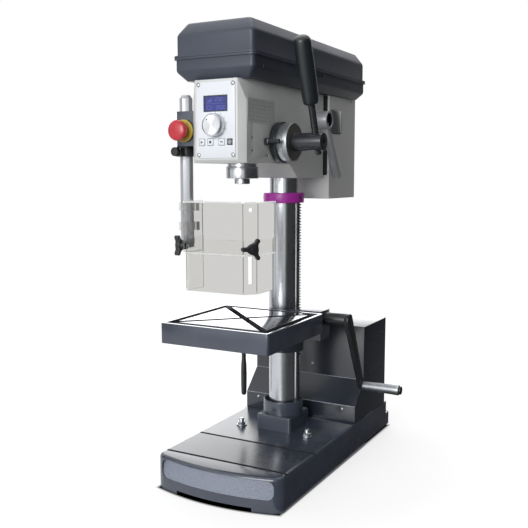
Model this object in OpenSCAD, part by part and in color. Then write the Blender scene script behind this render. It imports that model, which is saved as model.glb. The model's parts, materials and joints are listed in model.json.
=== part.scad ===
// Benchtop drill press. Front is -Y, up is +Z, origin on the floor at the column axis.

/* [Base] */
// Width of the base casting
base_w = 292; // [270:1:330]
// Column axis to the middle of the bowed front
base_front = 314; // [300:1:330]
// How far the front bows out
base_bow = 20; // [10:1:26]
// Column axis to the rear end
base_rear = 327; // [315:1:350]
// Height of the top face
base_h = 72; // [66:1:84]
// Wall of the hollow casting
base_wall = 12; // [8:1:16]
// Chamfer on the front corners
base_corner = 12; // [8:1:20]
// Height of the low tail behind the cabinet
tail_h = 40; // [30:1:52]
// Lift of the underside at the rear
rear_lift = 8; // [4:1:12]
// Column axis to the step in the underside
rear_step = 151; // [130:1:170]
// Column axis to the front edge of the machined pad
pad_front = 259; // [250:1:265]
// Column axis to the rear edge of the machined pad
pad_rear = 132; // [120:1:145]
// Width of the two grooves that bound the pad
groove_w = 6; // [3:1:8]
// Depth of the two grooves
groove_d = 4; // [2:1:6]
// Half spacing of the two base bolts
bolt_x = 84; // [78:1:100]
// Base bolts in front of the column axis
bolt_y = 47; // [40:1:54]
// Height of the hold-down bolts above the base
bolt_h = 17; // [12:1:22]

/* [Column] */
// Diameter of the column
column_d = 65; // [60:1:66]
// Top end of the column inside the head
column_top = 800; // [760:1:812]
// Width of the pedestal
pedestal_w = 86; // [80:1:96]
// Depth of the pedestal
pedestal_d = 98; // [94:1:104]
// Height of the pedestal above the base
pedestal_h = 34; // [28:1:40]
// Height of the round collar on the pedestal
collar_h = 30; // [26:1:40]
// Wall of the collar round the rack's end
collar_wall = 3.5; // [3:0.5:6]
// Depth of the recess for the rack's end
collar_recess = 9; // [7:1:14]
// Underside of the retaining ring
ring_z = 587; // [560:1:600]
// Height of the retaining ring
ring_h = 22; // [18:1:30]
// Wall of the ring round the rack's end
ring_wall = 4; // [3:0.5:6]

/* [Rack and lift] */
// Gear module of the racks and pinions
gear_m = 2; // [1.75:0.25:2.25]
// Teeth on the lift gear
lift_teeth = 14; // [14:1:16]
// Width of the rack
rack_w = 14; // [12:1:16]
// Solid thickness of the rack behind its teeth
rack_back = 3.7; // [3:0.1:5]
// Pitch radius of the worm
worm_r = 9; // [8:0.5:10]
// Turns on the worm
worm_turns = 4; // [3:1:4]
// Height of the crank axis
crank_z = 332; // [326:1:336]
// Length of the crank arm between its axes
crank_r = 183; // [150:1:188]
// Lean of the hanging crank arm to the rear
crank_lean = 26; // [0:1:60]
// Inner face of the crank arm
crank_x = 155; // [155:1:170]
// Thickness of the crank arm
crank_t = 9; // [7:1:12]
// Diameter of the crank handle
handle_d = 23; // [20:1:28]
// Length of the crank handle
handle_len = 88; // [70:1:100]

/* [Table] */
// Width of the table
table_w = 247; // [220:1:260]
// Depth of the table
table_d = 249; // [220:1:255]
// Column axis to the table's rear edge
table_rear = 54; // [52:1:62]
// Height of the table's top
table_z = 352.5; // [350:0.5:356]
// Thickness of the table plate
table_t = 24; // [20:1:28]
// Height of the skirt
skirt_h = 42; // [36:1:46]
// Thickness of the skirt
skirt_t = 9; // [7:1:12]
// Width of the raised rim
rim_w = 5; // [4:1:8]
// Width of the coolant gutter inside the rim
gutter_w = 13; // [10:1:18]
// Depth of the gutter
gutter_d = 7; // [4:1:9]
// Width of the slot mouth
slot_w = 12; // [10:1:14]
// Depth of the slot mouth
slot_d = 8; // [6:1:9]
// Width of the wide lower part of the slot
slot_foot_w = 19; // [18:1:22]
// Height of the wide lower part of the slot
slot_foot_h = 7; // [6:1:8]

/* [Table bracket] */
// Underside of the bracket's sleeve
bracket_z = 252; // [248:1:258]
// Wall of the sleeve
sleeve_wall = 14; // [12:1:16]
// Half spread of the clamp lugs
lug_half = 20; // [18:1:22]
// Clamp stud beside the column axis
lock_x = 90; // [86:1:96]
// Height of the clamp stud
lock_z = 285; // [280:1:290]
// Length of the lock lever
lock_len = 148; // [110:1:150]
// Width of the arm under the table
arm_w = 84; // [70:1:90]

/* [Head] */
// Half width of the head casting
head_half = 60; // [58:1:62]
// Column axis to the head's front face
head_front = 284; // [280:1:288]
// Column axis to the rear of the head
head_rear = 79; // [72:1:80]
// Chamfer on the head's front edges
head_chamfer = 12.6; // [8:0.1:16]
// Underside of the head at the front
head_z = 671; // [668:1:674]
// Underside of the head at the column
head_low_z = 642; // [632:1:650]
// Top of the head
head_top = 828.5; // [826:0.5:829]
// Column axis to the top of the underside's slope
slope_front = 92; // [85:1:98]
// Column axis to the foot of the underside's slope
slope_rear = 53; // [50:1:58]
// Length of the info plate
info_w = 108; // [90:1:112]
// Height of the info plate
info_h = 46; // [40:1:50]
// Head's front face to the info plate
info_inset = 16; // [14:1:24]
// Feed axis to the info plate's lower edge
info_up = 34.5; // [34:0.5:40]
// Thickness of the info plate
plate_t = 0.6; // [0.4:0.1:1]

/* [Quill and spindle] */
// Column axis to the spindle axis
spindle_y = 185.8; // [185:0.1:187]
// Diameter of the quill
quill_d = 54; // [53:1:55]
// Lower end of the quill at rest
quill_z = 641; // [638:1:644]
// Length of the quill
quill_len = 150; // [145:1:154]
// Depth of the pulley's bearing seat in the head's top
sleeve_seat = 36; // [35:1:40]
// Travel of the quill
quill_travel = 65; // [50:1:66]
// Diameter of the spindle
spindle_d = 25; // [24:1:26]
// Diameter of the spindle nose
nose_d = 32; // [30:1:36]
// Length of the nose below the quill
nose_len = 11; // [9:1:14]
// Top of the spindle at rest
spindle_top = 900; // [885:1:905]
// Mouth of the taper socket
socket_d = 17.8; // [17.8:0.1:18.2]
// Depth of the taper socket
socket_depth = 62; // [58:1:66]
// Diameter of the guide ring's flange
guide_d = 66; // [62:1:70]
// Height of the guide ring's flange
guide_h = 24; // [20:1:26]

/* [Feed] */
// Height of the feed axis
feed_z = 713.5; // [711:0.5:716]
// Teeth on the feed pinion
feed_teeth = 18; // [16:1:19]
// Diameter of the scale drum
drum_d = 78; // [70:1:82]
// Length of the scale drum
drum_len = 28; // [24:1:32]
// Diameter of the depth ring
stop_ring_d = 82; // [82:1:90]
// Width of the depth ring
stop_ring_w = 9; // [8:1:11]
// Diameter of the lever hub
hub_d = 36; // [34:1:40]
// Length of the lever hub
hub_len = 64; // [56:1:68]
// Diameter of the lever rod
lever_d = 14; // [10:1:16]
// Lean of the lever to the front
lever_lean = 20.5; // [0:0.5:30]
// Diameter of the grip
grip_d = 34; // [28:0.5:36]
// Feed axis to the near end of the grip
grip_start = 76; // [60:1:90]
// Length of the grip
grip_len = 132; // [110:1:140]

/* [Belt drive] */
// Column axis to the motor axis
motor_y = 166; // [164:1:168]
// Diameter of the spindle pulley
big_pulley_d = 100; // [90:1:110]
// Diameter of the motor pulley
small_pulley_d = 60; // [50:1:66]
// Underside of the belt
belt_z = 850; // [848:1:852]
// Width of the belt
belt_w = 24; // [18:1:26]
// Thickness of the belt
belt_t = 4; // [3:0.5:5]
// Diameter of the motor
motor_d = 116; // [100:1:120]
// Height of the motor
motor_h = 180; // [160:1:190]
// Half width of the motor box
box_half = 70.7; // [66:0.1:71]
// Column axis to the front of the motor box
box_front = 89; // [88:1:91]
// Column axis to the rear of the motor box
box_rear = 244; // [240:1:250]
// Underside of the motor box
box_z = 594; // [580:1:605]
// Sheet thickness of the motor box
box_t = 4; // [3:0.5:5]
// Diameter of the slide rods
slide_d = 14; // [10:1:16]
// Half spacing of the slide rods
slide_x = 50; // [48:1:51]
// Height of the slide rods
slide_z = 715; // [690:1:735]
// Column axis to the tension lever's axis
tension_y = 35; // [32:1:38]
// Height of the tension lever's axis
tension_z = 769; // [762:0.5:776]
// Diameter of the tension hub
tension_d = 39; // [34:0.5:42]
// Length of the tension bar
tension_len = 150; // [130:1:156]
// Lean of the tension bar to the rear
tension_lean = 33; // [20:1:40]

/* [Hood] */
// Half width of the hood's lip
lip_half = 92; // [90:0.5:94]
// Column axis to the front of the lip
lip_front = 296; // [294:1:300]
// Column axis to the rear of the lip
lip_rear = 263.5; // [262:0.5:270]
// Parting plane of tray and lid
part_z = 871.5; // [870:0.5:873]
// Height of each half of the lip
lip_h = 3.8; // [3:0.1:5]
// Lip past the tray wall
lip_over = 4; // [3:0.5:6]
// Lip past the lid wall
lid_inset = 5.5; // [4:0.5:7]
// Height of the tray's lower bevel
tray_bevel = 17; // [14:1:20]
// Inset of the tray's lower bevel
tray_inset = 15; // [12:1:18]
// Top of the lid
lid_top = 938.5; // [934:0.5:945]
// Height of the lid's upper bevel
lid_bevel = 24; // [18:1:28]
// Inset of the lid's upper bevel
lid_slope = 15.5; // [12:0.5:18]
// Corner radius of the hood
hood_r = 9; // [6:1:14]
// Wall of the hood
hood_t = 3; // [2:0.5:4]
// Lip edge to the lid's hinge axis
hinge_out = 5; // [4.5:0.5:7]
// Diameter of the hinge pin
hinge_d = 5; // [4:0.5:6]

/* [Cabinet] */
// Base's side to the cabinet's side
cabinet_inset = 1; // [0.5:0.5:10]
// Column axis to the upper front panel
cabinet_front_y = 136; // [130:1:142]
// Column axis to the lower front panel
cabinet_low_y = 84; // [82:1:92]
// Column axis to the rear wall
cabinet_rear_y = 283; // [275:1:288]
// Top of the cabinet
cabinet_top = 292; // [270:1:294]
// Upper bend of the front panel
bend_top = 164; // [150:1:175]
// Lower bend of the front panel
bend_low = 112; // [100:1:125]
// Sheet thickness
sheet_t = 2; // [1.5:0.5:3]
// Width of the drive unit
drive_w = 140; // [100:1:160]
// Depth of the drive unit
drive_d = 87; // [70:1:100]
// Height of the drive unit
drive_h = 160; // [120:1:180]
// Room behind the drive unit
drive_back = 20; // [15:1:30]
// Cabinet's edges to its side screws
screw_edge = 33; // [25:1:40]

/* [Controls] */
// Width of the panel plate
panel_w = 86; // [80:1:90]
// Height of the panel plate
panel_h = 143; // [136:1:146]
// Lower edge of the panel plate
panel_z = 680; // [679:1:682]
// Thickness of the panel plate
panel_t = 2; // [1.5:0.5:3]
// Width of the display
display_w = 54; // [46:1:60]
// Height of the display
display_h = 31; // [26:1:34]
// Height of the display's centre
display_z = 783; // [780:1:788]
// Diameter of the control knob
knob_d = 44; // [36:1:46]
// Length of the control knob
knob_len = 16; // [12:1:20]
// Height of the control knob
knob_z = 742; // [740:1:743]
// Size of a key
key_s = 12.5; // [10:0.5:13]
// Height of the keys
key_z = 710.5; // [708:0.5:711]
// Key travel
key_travel = 0.8; // [0.5:0.1:1.2]
// Diameter of the stop button
button_d = 40; // [36:1:42]
// Diameter of the yellow collar
stop_d = 44; // [40:1:44]
// Stop button travel
stop_travel = 5; // [4:1:7]
// Left of the column axis to the stop button's axis
stop_x = 80; // [79:1:81]
// Height of the stop button's axis
stop_z = 734; // [730:1:738]

/* [Guard] */
// Left of the column axis to the rod
rod_x = 103; // [102:1:105]
// In front of the column axis to the rod
rod_y = 233; // [232:1:235]
// Width across the rod's flats
rod_af = 23; // [20:0.5:24]
// Lower end of the rod
rod_z = 500; // [492:1:510]
// Top of the rod
rod_top = 808; // [790:1:815]
// Rear face of the stop block
block_rear = 212; // [205:1:214]
// Underside of the stop block
block_z = 704.5; // [700:0.5:708]
// Height of the stop block
block_h = 68; // [62:1:74]
// Half width of the lower guard
guard_half = 76.3; // [72:0.1:78]
// Column axis to the lower guard's front
guard_front = 280; // [276:1:283]
// Chamfer on the guard's right corner
guard_chamfer = 20; // [14:1:26]
// Column axis to the end of the right wall
guard_right_end = 190; // [185:1:200]
// Column axis to the end of the left wall
guard_left_end = 214; // [208:1:220]
// Wall of the guard
guard_t = 3; // [2:0.5:4]
// Lower edge of the lower guard
guard_z = 419; // [417:1:424]
// Height of each guard shell
guard_h = 104; // [98:1:108]
// Overlap of the two shells
guard_lap = 30; // [26:1:36]
// Travel of the lower guard
guard_travel = 65; // [50:1:66]
// Diameter of the star knobs
star_d = 46; // [36:1:46]
// Stem of the star knobs
star_stem = 11; // [7:1:14]
// Thickness of the star knobs' arms
star_arm = 11; // [9:1:14]

/* [Fits] */
// Radial clearance of running fits
fit = 0.05; // [0.02:0.01:0.1]
// Gap between parts that move past each other
gap = 0.4; // [0.3:0.1:0.6]
// Backlash of the gear teeth
backlash = 0.45; // [0.3:0.05:0.5]

/* [Hidden] */
$fn = 64;
facet_n = 32;
eps = 0.01;
pressure = 25;
addendum = 0.9 * gear_m;
dedendum = 1.2 * gear_m;
column_r = column_d / 2;
rack_tip = column_r + 0.3 + rack_back + addendum + dedendum;
rack_pitch = rack_tip - addendum;
rack_corner = norm([rack_tip, rack_w / 2]) + gap;
collar_z = base_h + pedestal_h;
collar_top = collar_z + collar_h;
rack_bottom = collar_top - collar_recess + gap;
ring_recess = 7;
rack_top = ring_z + ring_recess - gap;
lift_r = gear_m * lift_teeth / 2;
lift_x = rack_pitch + lift_r;
lift_z = crank_z - lift_r - worm_r;
lift_w = 12;
tooth_pitch = PI * gear_m;
worm_x0 = rack_tip + 1;
shaft_r = 8;
housing_x = 104;
housing_half = 24;
housing_top = crank_z + 18;
sleeve_r = column_r + sleeve_wall;
sleeve_top = table_z - table_t + 17;
crank_hub_r = 14;
crank_pin_y = crank_r * sin(crank_lean);
crank_pin_z = crank_z - crank_r * cos(crank_lean);
pin_r = 5;
table_mid = table_rear + table_d / 2;
table_low = table_z - table_t;
quill_r = quill_d / 2;
feed_r = gear_m * feed_teeth / 2;
rack_inset = 3;
quill_rack = quill_r - rack_inset;
feed_off = quill_rack + feed_r;
feed_y = spindle_y - feed_off;
pinion_w = 12;
seat_r = 19;
journal_r = feed_r + addendum + 0.6;
journal_x = sqrt(pow(quill_r, 2) - pow(feed_off - journal_r, 2)) + 2;
axle_r = 12;
stop_ring_x = head_half + plate_t + gap;
drum_x = stop_ring_x + stop_ring_w + gap;
hub_x = drum_x + drum_len;
lever_x = hub_x + 0.75 * hub_len;
lug_r = 54;
spring_r = 33;
neck_r = 30;
sleeve_pulley_r = 20;
bearing_r = 31;
tray_wall = lip_half - lip_over;
tray_screws = [[40, 22], [180, 21.5], [288, 11], [305, 10.5]];
tray_z = head_top;
box_top = head_top - gap;
block_front = head_front - head_chamfer;
rod_r = rod_af / sqrt(3);
bush_r = 16;
screw_r = 3;
collar_out = 9;
stem_r = 6;
shell_gap = 0.5;
shell_step = guard_t + shell_gap;
outer_chamfer = guard_chamfer + (2 - sqrt(2)) * shell_step;
star_z = guard_z + guard_h - guard_lap / 2;
star_y = rod_y + rod_r + star_d / 2 + 3 * gap;
upper_z = guard_z + guard_h - guard_lap;
outer_half = guard_half + shell_step;
outer_front = guard_front + shell_step;
nut_r = min(screw_r + 2.5, guard_front - guard_t - gap - star_y);
face_y = -head_front - panel_t;
key_seat = 2.5;
key_places = [-30.5, -11.5, 13.5, 31.5];
tension_x = head_half + gap;
hinge_x = -lip_half - hinge_out;
hinge_inset = 146;
knuckle_r = 4.6;
knuckle_len = 40;
hinge_places = [hinge_inset - lip_front, lip_rear - hinge_inset - knuckle_len];
pedestal_half = pedestal_w / 2;
cabinet_w = base_w - 2 * cabinet_inset;
bore_top = head_top - sleeve_seat;
screw_head_r = 3.2;
screw_head_h = 1.6;
panel_screw_r = 2;
gland_r = 7;

// Round bar along +X from x0 to x1 at height z and depth y
module bar_x(x0, x1, r, y, z) {
    translate([x0, y, z]) rotate([0, 90, 0]) cylinder(h = x1 - x0, r = r);
}

// Round bar along +Y from y0 to y1
module bar_y(y0, y1, r, x, z) {
    translate([x, y0, z]) rotate([-90, 0, 0]) cylinder(h = y1 - y0, r = r);
}

// Box from one corner to the other
module block(a, b) {
    translate(a) cube(b - a);
}

// Ring with a height, standing at z
module ring(r_out, r_in, z, h) {
    translate([0, 0, z]) difference() {
        cylinder(h = h, r = r_out);
        translate([0, 0, -1]) cylinder(h = h + 2, r = r_in);
    }
}

// Side profile in Y and Z, drawn out over a width along X
module across(half) {
    translate([-half, 0, 0]) rotate([90, 0, 90]) linear_extrude(2 * half) children();
}

function involute(a) = tan(a) * 180 / PI - a;

// One flank point of a gear tooth: radius and angle from the tooth's middle
function flank(teeth, rho) =
    let (r = gear_m * teeth / 2)
    let (rb = r * cos(pressure))
    let (half = 90 / teeth - backlash / 2 / r * 180 / PI)
    half + involute(pressure) - involute(rho > rb ? acos(rb / rho) : 0);

// Spur gear outline with a tooth on the +X axis
module gear(teeth) {
    r = gear_m * teeth / 2;
    radii = [for (k = [0 : 4]) r - dedendum + k * (addendum + dedendum) / 4];
    polygon([
        for (k = [0 : teeth - 1])
        for (s = [-1, 1])
        for (i = s < 0 ? [0 : 4] : [4 : -1 : 0])
        let (a = k * 360 / teeth + s * flank(teeth, radii[i]))
        radii[i] * [cos(a), sin(a)]
    ]);
}

// Row of rack tooth spaces along Y, cut into the +X side of pitch line 0, one space at 0
module rack_spaces(n0, n1) {
    half = tooth_pitch / 4 + backlash / 2;
    deep = half - dedendum * tan(pressure);
    wide = half + (addendum + 1) * tan(pressure);
    for (k = [n0 : n1])
    translate([0, k * tooth_pitch])
    polygon([[-dedendum, -deep], [-dedendum, deep], [addendum + 1, wide], [addendum + 1, -wide]]);
}

// Rounded rectangle plate from z to z plus h
module hood_slab(half, front, rear, r, z, h) {
    for (x = [-half + r, half - r])
    for (y = [-front + r, rear - r])
    translate([x, y, z]) cylinder(h = h, r = r, $fn = facet_n);
}

// Base
module base_plan() {
    half = base_w / 2;
    flat = half - base_corner;
    steps = 8;
    bow = [for (k = [-steps : steps]) [flat * k / steps, -base_front + base_bow * pow(k / steps, 2)]];
    side = -base_front + base_bow + base_corner;
    polygon(concat(bow, [[half, side], [half, base_rear - base_corner], [flat, base_rear],
        [-flat, base_rear], [-half, base_rear - base_corner], [-half, side]]));
}

module base() {
    half = base_w / 2;
    inner = half - base_wall;
    roof = base_h - base_wall;
    rib = pedestal_d / 2 + base_wall;
    color("#2f323a") difference() {
        linear_extrude(base_h) base_plan();
        block([-inner, base_bow + 2 * base_wall - base_front, -1], [inner, -rib, roof]);
        block([-inner, rib, -1], [inner, cabinet_rear_y, roof]);
        block([-inner, rib, -1], [inner, base_rear - 2 * base_wall, tail_h - base_wall]);
        block([-half - 1, cabinet_rear_y + base_wall, tail_h], [half + 1, base_rear + 1, base_h + 1]);
        block([-half - 1, rear_step, -1], [half + 1, base_rear + 1, rear_lift]);
        block([-0.6 * half, -base_front - 1, -1], [0.6 * half, -pad_front, rear_lift]);
        for (y = [pad_front, pad_rear])
        block([-half - 1, -y - groove_w, base_h - groove_d], [half + 1, -y, base_h + 1]);
        for (x = [-bolt_x, bolt_x])
        translate([x, -bolt_y, roof - 20]) cylinder(h = base_h, r = shaft_r - 2);
    }
}

module base_bolts() {
    color("silver") for (x = [-bolt_x, bolt_x])
    translate([x, -bolt_y, base_h]) {
        translate([0, 0, -base_wall - 18]) cylinder(h = base_wall + 18 + bolt_h, r = shaft_r - 2);
        cylinder(h = 2.5, r = 12);
        translate([0, 0, 2]) cylinder(h = 7, r = 10, $fn = 6);
    }
}

// Column group
module column_foot() {
    color("#2f323a") difference() {
        union() {
            block([-pedestal_half, -pedestal_d / 2, base_h], [pedestal_half, pedestal_d / 2, collar_z]);
            translate([0, 0, collar_z - eps]) cylinder(h = collar_h + eps, r = rack_corner + collar_wall);
        }
        translate([0, 0, base_h - 1]) cylinder(h = pedestal_h + collar_h + 2, r = column_r);
        translate([0, 0, collar_top - collar_recess]) cylinder(h = collar_h, r = rack_corner);
    }
}

module column() {
    color("#c4c7cb") ring(column_r, column_r - 8, base_h, column_top - base_h);
}

module rack_ring() {
    color("#8f2a87") difference() {
        translate([0, 0, ring_z]) cylinder(h = ring_h, r = rack_corner + ring_wall);
        translate([0, 0, ring_z - 1]) cylinder(h = ring_h + 2, r = column_r);
        translate([0, 0, ring_z - 1]) cylinder(h = ring_recess + 1, r = rack_corner);
    }
}

module rack() {
    up = ceil((rack_top - lift_z) / tooth_pitch);
    down = ceil((lift_z - rack_bottom) / tooth_pitch);
    color("#d8dadc") translate([0, rack_w / 2, 0]) rotate([90, 0, 0]) linear_extrude(rack_w) difference() {
        translate([column_r + 0.3, rack_bottom]) square([rack_tip - column_r - 0.3, rack_top - rack_bottom]);
        translate([rack_pitch, lift_z]) rack_spaces(-down, up);
    }
}

// Head
module head_plan() {
    flat = head_half - head_chamfer;
    side = -head_front + head_chamfer;
    polygon([[-flat, -head_front], [flat, -head_front], [head_half, side], [head_half, head_rear],
        [-head_half, head_rear], [-head_half, side]]);
}

module head_profile() {
    bevel = 6;
    polygon([[-head_front, head_z + bevel], [-head_front + bevel, head_z], [-slope_front, head_z],
        [-slope_rear, head_low_z], [head_rear, head_low_z], [head_rear, head_top], [-head_front, head_top]]);
}

module head_casting() {
    head_wall = 12;
    hollow = head_half - head_wall;
    color("#d9dbdd") difference() {
        intersection() {
            translate([0, 0, head_low_z - 1]) linear_extrude(head_top) head_plan();
            across(head_half) head_profile();
        }
        translate([0, 0, head_low_z - 1]) cylinder(h = column_top - head_low_z + 1, r = column_r);
        translate([0, -spindle_y, head_z - 1]) {
            cylinder(h = head_top - head_z + 2, r = quill_r + fit);
            cylinder(h = 21, r = guide_d / 2 - 3);
            translate([0, 0, bore_top - head_z + 1]) cylinder(h = sleeve_seat + 4, r = bearing_r);
        }
        bar_x(-pinion_w / 2 - gap - 1, head_half + 1, journal_r + fit, -feed_y, feed_z);
        bar_x(-head_half - 1, 0, axle_r - 3 + fit, -feed_y, feed_z);
        bar_x(head_half - 18, head_half + 1, shaft_r + fit, tension_y, tension_z);
        for (x = [-slide_x, slide_x])
        bar_y(head_rear - 50, head_rear + 1, slide_d / 2, x, slide_z);
        block([-display_w / 2 - 2, -head_front - 1, key_z - key_s],
            [display_w / 2 + 2, -spindle_y - bearing_r - 4, display_z + display_h / 2 + 2]);
        for (x = key_places)
        block([x - key_s / 2, -head_front - 1, key_z - key_s / 2],
            [x + key_s / 2, -head_front + key_seat + key_travel + gap, key_z + key_s / 2]);
        for (s = screw_places_head())
        bar_x(head_half - 8, head_half + 1, 3, s[0], s[1]);
        block([-hollow, -feed_y + journal_r + 5, head_z + 19], [hollow, -column_r - head_wall, head_top + 1]);
        block([-hollow, -feed_y - 4, feed_z + journal_r + 10], [hollow, -column_r - head_wall, head_top + 1]);
    }
}

function screw_places_head() =
    let (y = 35 - head_front)
    [[y, feed_z + 5.5], [y, feed_z - 19], [-spindle_y - 3, feed_z - 27]];

module quill_guide() {
    color("#c4c7cb") translate([0, -spindle_y, 0]) difference() {
        union() {
            translate([0, 0, quill_z]) cylinder(h = guide_h, r = guide_d / 2);
            translate([0, 0, quill_z]) cylinder(h = head_z + 20 - quill_z, r = guide_d / 2 - 3);
        }
        translate([0, 0, quill_z - 1]) cylinder(h = head_z + 22 - quill_z, r = quill_r + fit);
    }
}

module info_plate() {
    color("#a9aaa8") translate([head_half, info_inset - head_front, feed_z + info_up])
    cube([plate_t, info_w, info_h]);
}

// Control panel
module panel_plate() {
    color("#eef2f8") difference() {
        block([-panel_w / 2, face_y, panel_z], [panel_w / 2, -head_front, panel_z + panel_h]);
        block([-display_w / 2, face_y - 1, display_z - display_h / 2],
            [display_w / 2, -head_front + 1, display_z + display_h / 2]);
        bar_y(face_y - 1, -head_front + 1, pin_r + fit, 0, knob_z);
        for (x = key_places)
        block([x - key_s / 2, face_y - 1, key_z - key_s / 2],
            [x + key_s / 2, -head_front + 1, key_z + key_s / 2]);
        for (s = panel_screw_places())
        bar_y(face_y - 1, -head_front + 1, panel_screw_r, s[0], s[1]);
    }
}

function panel_screw_places() =
    [for (x = [-1, 1]) for (z = [6, panel_h - 4]) [x * (panel_w / 2 - 4.5), panel_z + z]];

module display() {
    half = display_w / 2;
    color("#37419c") union() {
        block([-half, -head_front - 1, display_z - display_h / 2],
            [half, -head_front + 4, display_z + display_h / 2]);
        block([-half - 2, -head_front + eps, display_z - display_h / 2 - 1],
            [half + 2, -head_front + 6, display_z + display_h / 2 + 2]);
    }
}

module control_knob() {
    color("#c9ccd0") {
        bar_y(face_y - gap - knob_len, face_y - gap, knob_d / 2, 0, knob_z);
        bar_y(face_y - gap - eps, -head_front + 12, pin_r, 0, knob_z);
    }
}

module key(n) {
    half = key_s / 2 - 0.3;
    x = key_places[n];
    color(n == 3 ? "#20242c" : "#e4e8ef")
    block([x - half, face_y - 1, key_z - half], [x + half, -head_front + key_seat, key_z + half]);
}

module case_screws() {
    color("#9a9da2") {
        for (s = panel_screw_places()) {
            bar_y(face_y - screw_head_h, face_y, screw_head_r, s[0], s[1]);
            bar_y(face_y - eps, -head_front, panel_screw_r, s[0], s[1]);
        }
        for (s = screw_places_head())
        bar_x(head_half - 8, head_half - 1, 3, s[0], s[1]);
        for (s = tray_screws)
        bar_x(tray_wall, tray_wall + screw_head_h, screw_head_r, s[0] - lip_front, part_z - s[1]);
        for (y = [cabinet_front_y + screw_edge, cabinet_rear_y - screw_edge])
        for (z = [bend_top + 9, cabinet_top - screw_edge])
        for (x = [-cabinet_w / 2 - screw_head_h, cabinet_w / 2])
        bar_x(x, x + screw_head_h, screw_head_r, y, z);
        for (x = [screw_edge - cabinet_w / 2, cabinet_w / 2 - screw_edge])
        bar_y(cabinet_low_y - screw_head_h, cabinet_low_y, screw_head_r, x, bend_low - 9);
        bar_y(cabinet_front_y - screw_head_h, cabinet_front_y, screw_head_r, 12, bend_top + 26);
    }
}

// Stop button and its block
module stop_block() {
    inner = head_half;
    outer = rod_x + bush_r + 3.5;
    color("#3a3d45") difference() {
        translate([0, 0, block_z]) linear_extrude(block_h)
        polygon([[-inner, -block_front], [-inner - 39, -block_front], [-outer, -rod_y - 7],
            [-outer, -block_rear], [-inner, -block_rear]]);
        translate([-rod_x, -rod_y, block_z - 1]) cylinder(h = block_h + 2, r = bush_r + fit);
        bar_y(-block_front - 1, -block_front + 34, stem_r + 2, -stop_x, stop_z);
    }
}

module stop_collar() {
    color("#d8c24c") difference() {
        union() {
            bar_y(-block_front - 7, -block_front - 4, stop_d / 2, -stop_x, stop_z);
            bar_y(-block_front - collar_out, -block_front, 17, -stop_x, stop_z);
        }
        bar_y(-block_front - collar_out - 1, -block_front + 1, stem_r + fit, -stop_x, stop_z);
    }
}

module stop_button() {
    face = -block_front - collar_out - stop_travel - gap;
    color("#d2404c") {
        bar_y(face - 20, face, button_d / 2, -stop_x, stop_z);
        bar_y(face - eps, -block_front + 26 - stop_travel, stem_r, -stop_x, stop_z);
    }
}

// Chuck guard
module rod_clamp() {
    top = block_z - gap;
    low = top - 19;
    color("#17181a") difference() {
        union() {
            translate([-rod_x, -rod_y, low]) cylinder(h = 19, r = bush_r + 5);
            translate([-rod_x, -rod_y, low]) cylinder(h = block_h + 19, r = bush_r);
            block([-rod_x - 9, -rod_y - 34, low + 1], [-rod_x + 9, -rod_y, low + 17]);
        }
        translate([-rod_x, -rod_y, low - 1])
        rotate(30) cylinder(h = block_h + 40, r = rod_r + gap / 2, $fn = 6);
        bar_y(-rod_y - 36, -rod_y - rod_af / 2 - 3, pin_r + fit, -rod_x, low + 9);
    }
}

module clamp_knob() {
    z = block_z - gap - 10;
    y = -rod_y - 34 - gap;
    color("#17181a") {
        bar_y(y - 9, y, 9, -rod_x, z);
        bar_y(y - eps, -rod_y - rod_af / 2 - 4, pin_r, -rod_x, z);
    }
}

module guard_rod() {
    color("#c4c7cb") translate([-rod_x, -rod_y, 0]) rotate(30) {
        translate([0, 0, rod_z]) cylinder(h = rod_top - rod_z - 7, r = rod_r, $fn = 6);
        translate([0, 0, rod_top - 7]) cylinder(h = 7, r1 = rod_r, r2 = rod_r - 5, $fn = 6);
    }
}

// Plan of a guard wall whose outer faces lie at the given half width and front
module guard_plan(half, front, c, left_end, right_end) {
    k = guard_t * tan(22.5);
    polygon([[-half, -left_end], [-half, -front], [half - c, -front], [half, c - front], [half, -right_end],
        [half - guard_t, -right_end], [half - guard_t, c - front + k], [half - c - k, guard_t - front],
        [guard_t - half, guard_t - front], [guard_t - half, -left_end]]);
}

module guard_upper() {
    color("#dfe6ea", 0.4) difference() {
        union() {
            translate([0, 0, upper_z]) linear_extrude(guard_h)
            guard_plan(outer_half, outer_front, outer_chamfer, guard_left_end, guard_right_end);
            for (z = [upper_z + guard_h - 62, upper_z + guard_h - 22])
            translate([0, 0, z]) {
                translate([-rod_x, -rod_y, 0]) cylinder(h = 18, r = rod_r + 4);
                block([-rod_x, -rod_y - 6, 0], [-outer_half, -rod_y + 10, 18]);
            }
        }
        translate([-rod_x, -rod_y, upper_z - 1]) rotate(30) cylinder(h = guard_h + 2, r = rod_r, $fn = 6);
        guard_screws(screw_r + fit, -6, 6);
    }
}

// Screws of the two star knobs, reaching from the outer face by the two lengths
module guard_screws(r, inside, outside) {
    star_right() cylinder(h = outside - inside, r = r);
    star_left() cylinder(h = outside - inside, r = r);
}

// Frame on the chamfer of the outer shell, +Z outward, starting 6 behind its face
module star_right() {
    k = outer_chamfer / 2;
    translate([outer_half - k, k - outer_front, star_z]) rotate([0, 0, -45]) rotate([0, 90, 0])
    translate([0, 0, -6]) children();
}

// Frame on the left wall of the outer shell
module star_left() {
    translate([-outer_half, -star_y, star_z]) rotate([0, -90, 0]) translate([0, 0, -6]) children();
}

module guard_lower() {
    slot = guard_travel + guard_lap / 2;
    color("#dfe6ea", 0.4) difference() {
        translate([0, 0, guard_z]) linear_extrude(guard_h)
        guard_plan(guard_half, guard_front, guard_chamfer, guard_left_end + 4, guard_right_end + 4);
        for (z = [0 : 1])
        guard_slot(z, slot);
    }
}

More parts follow.
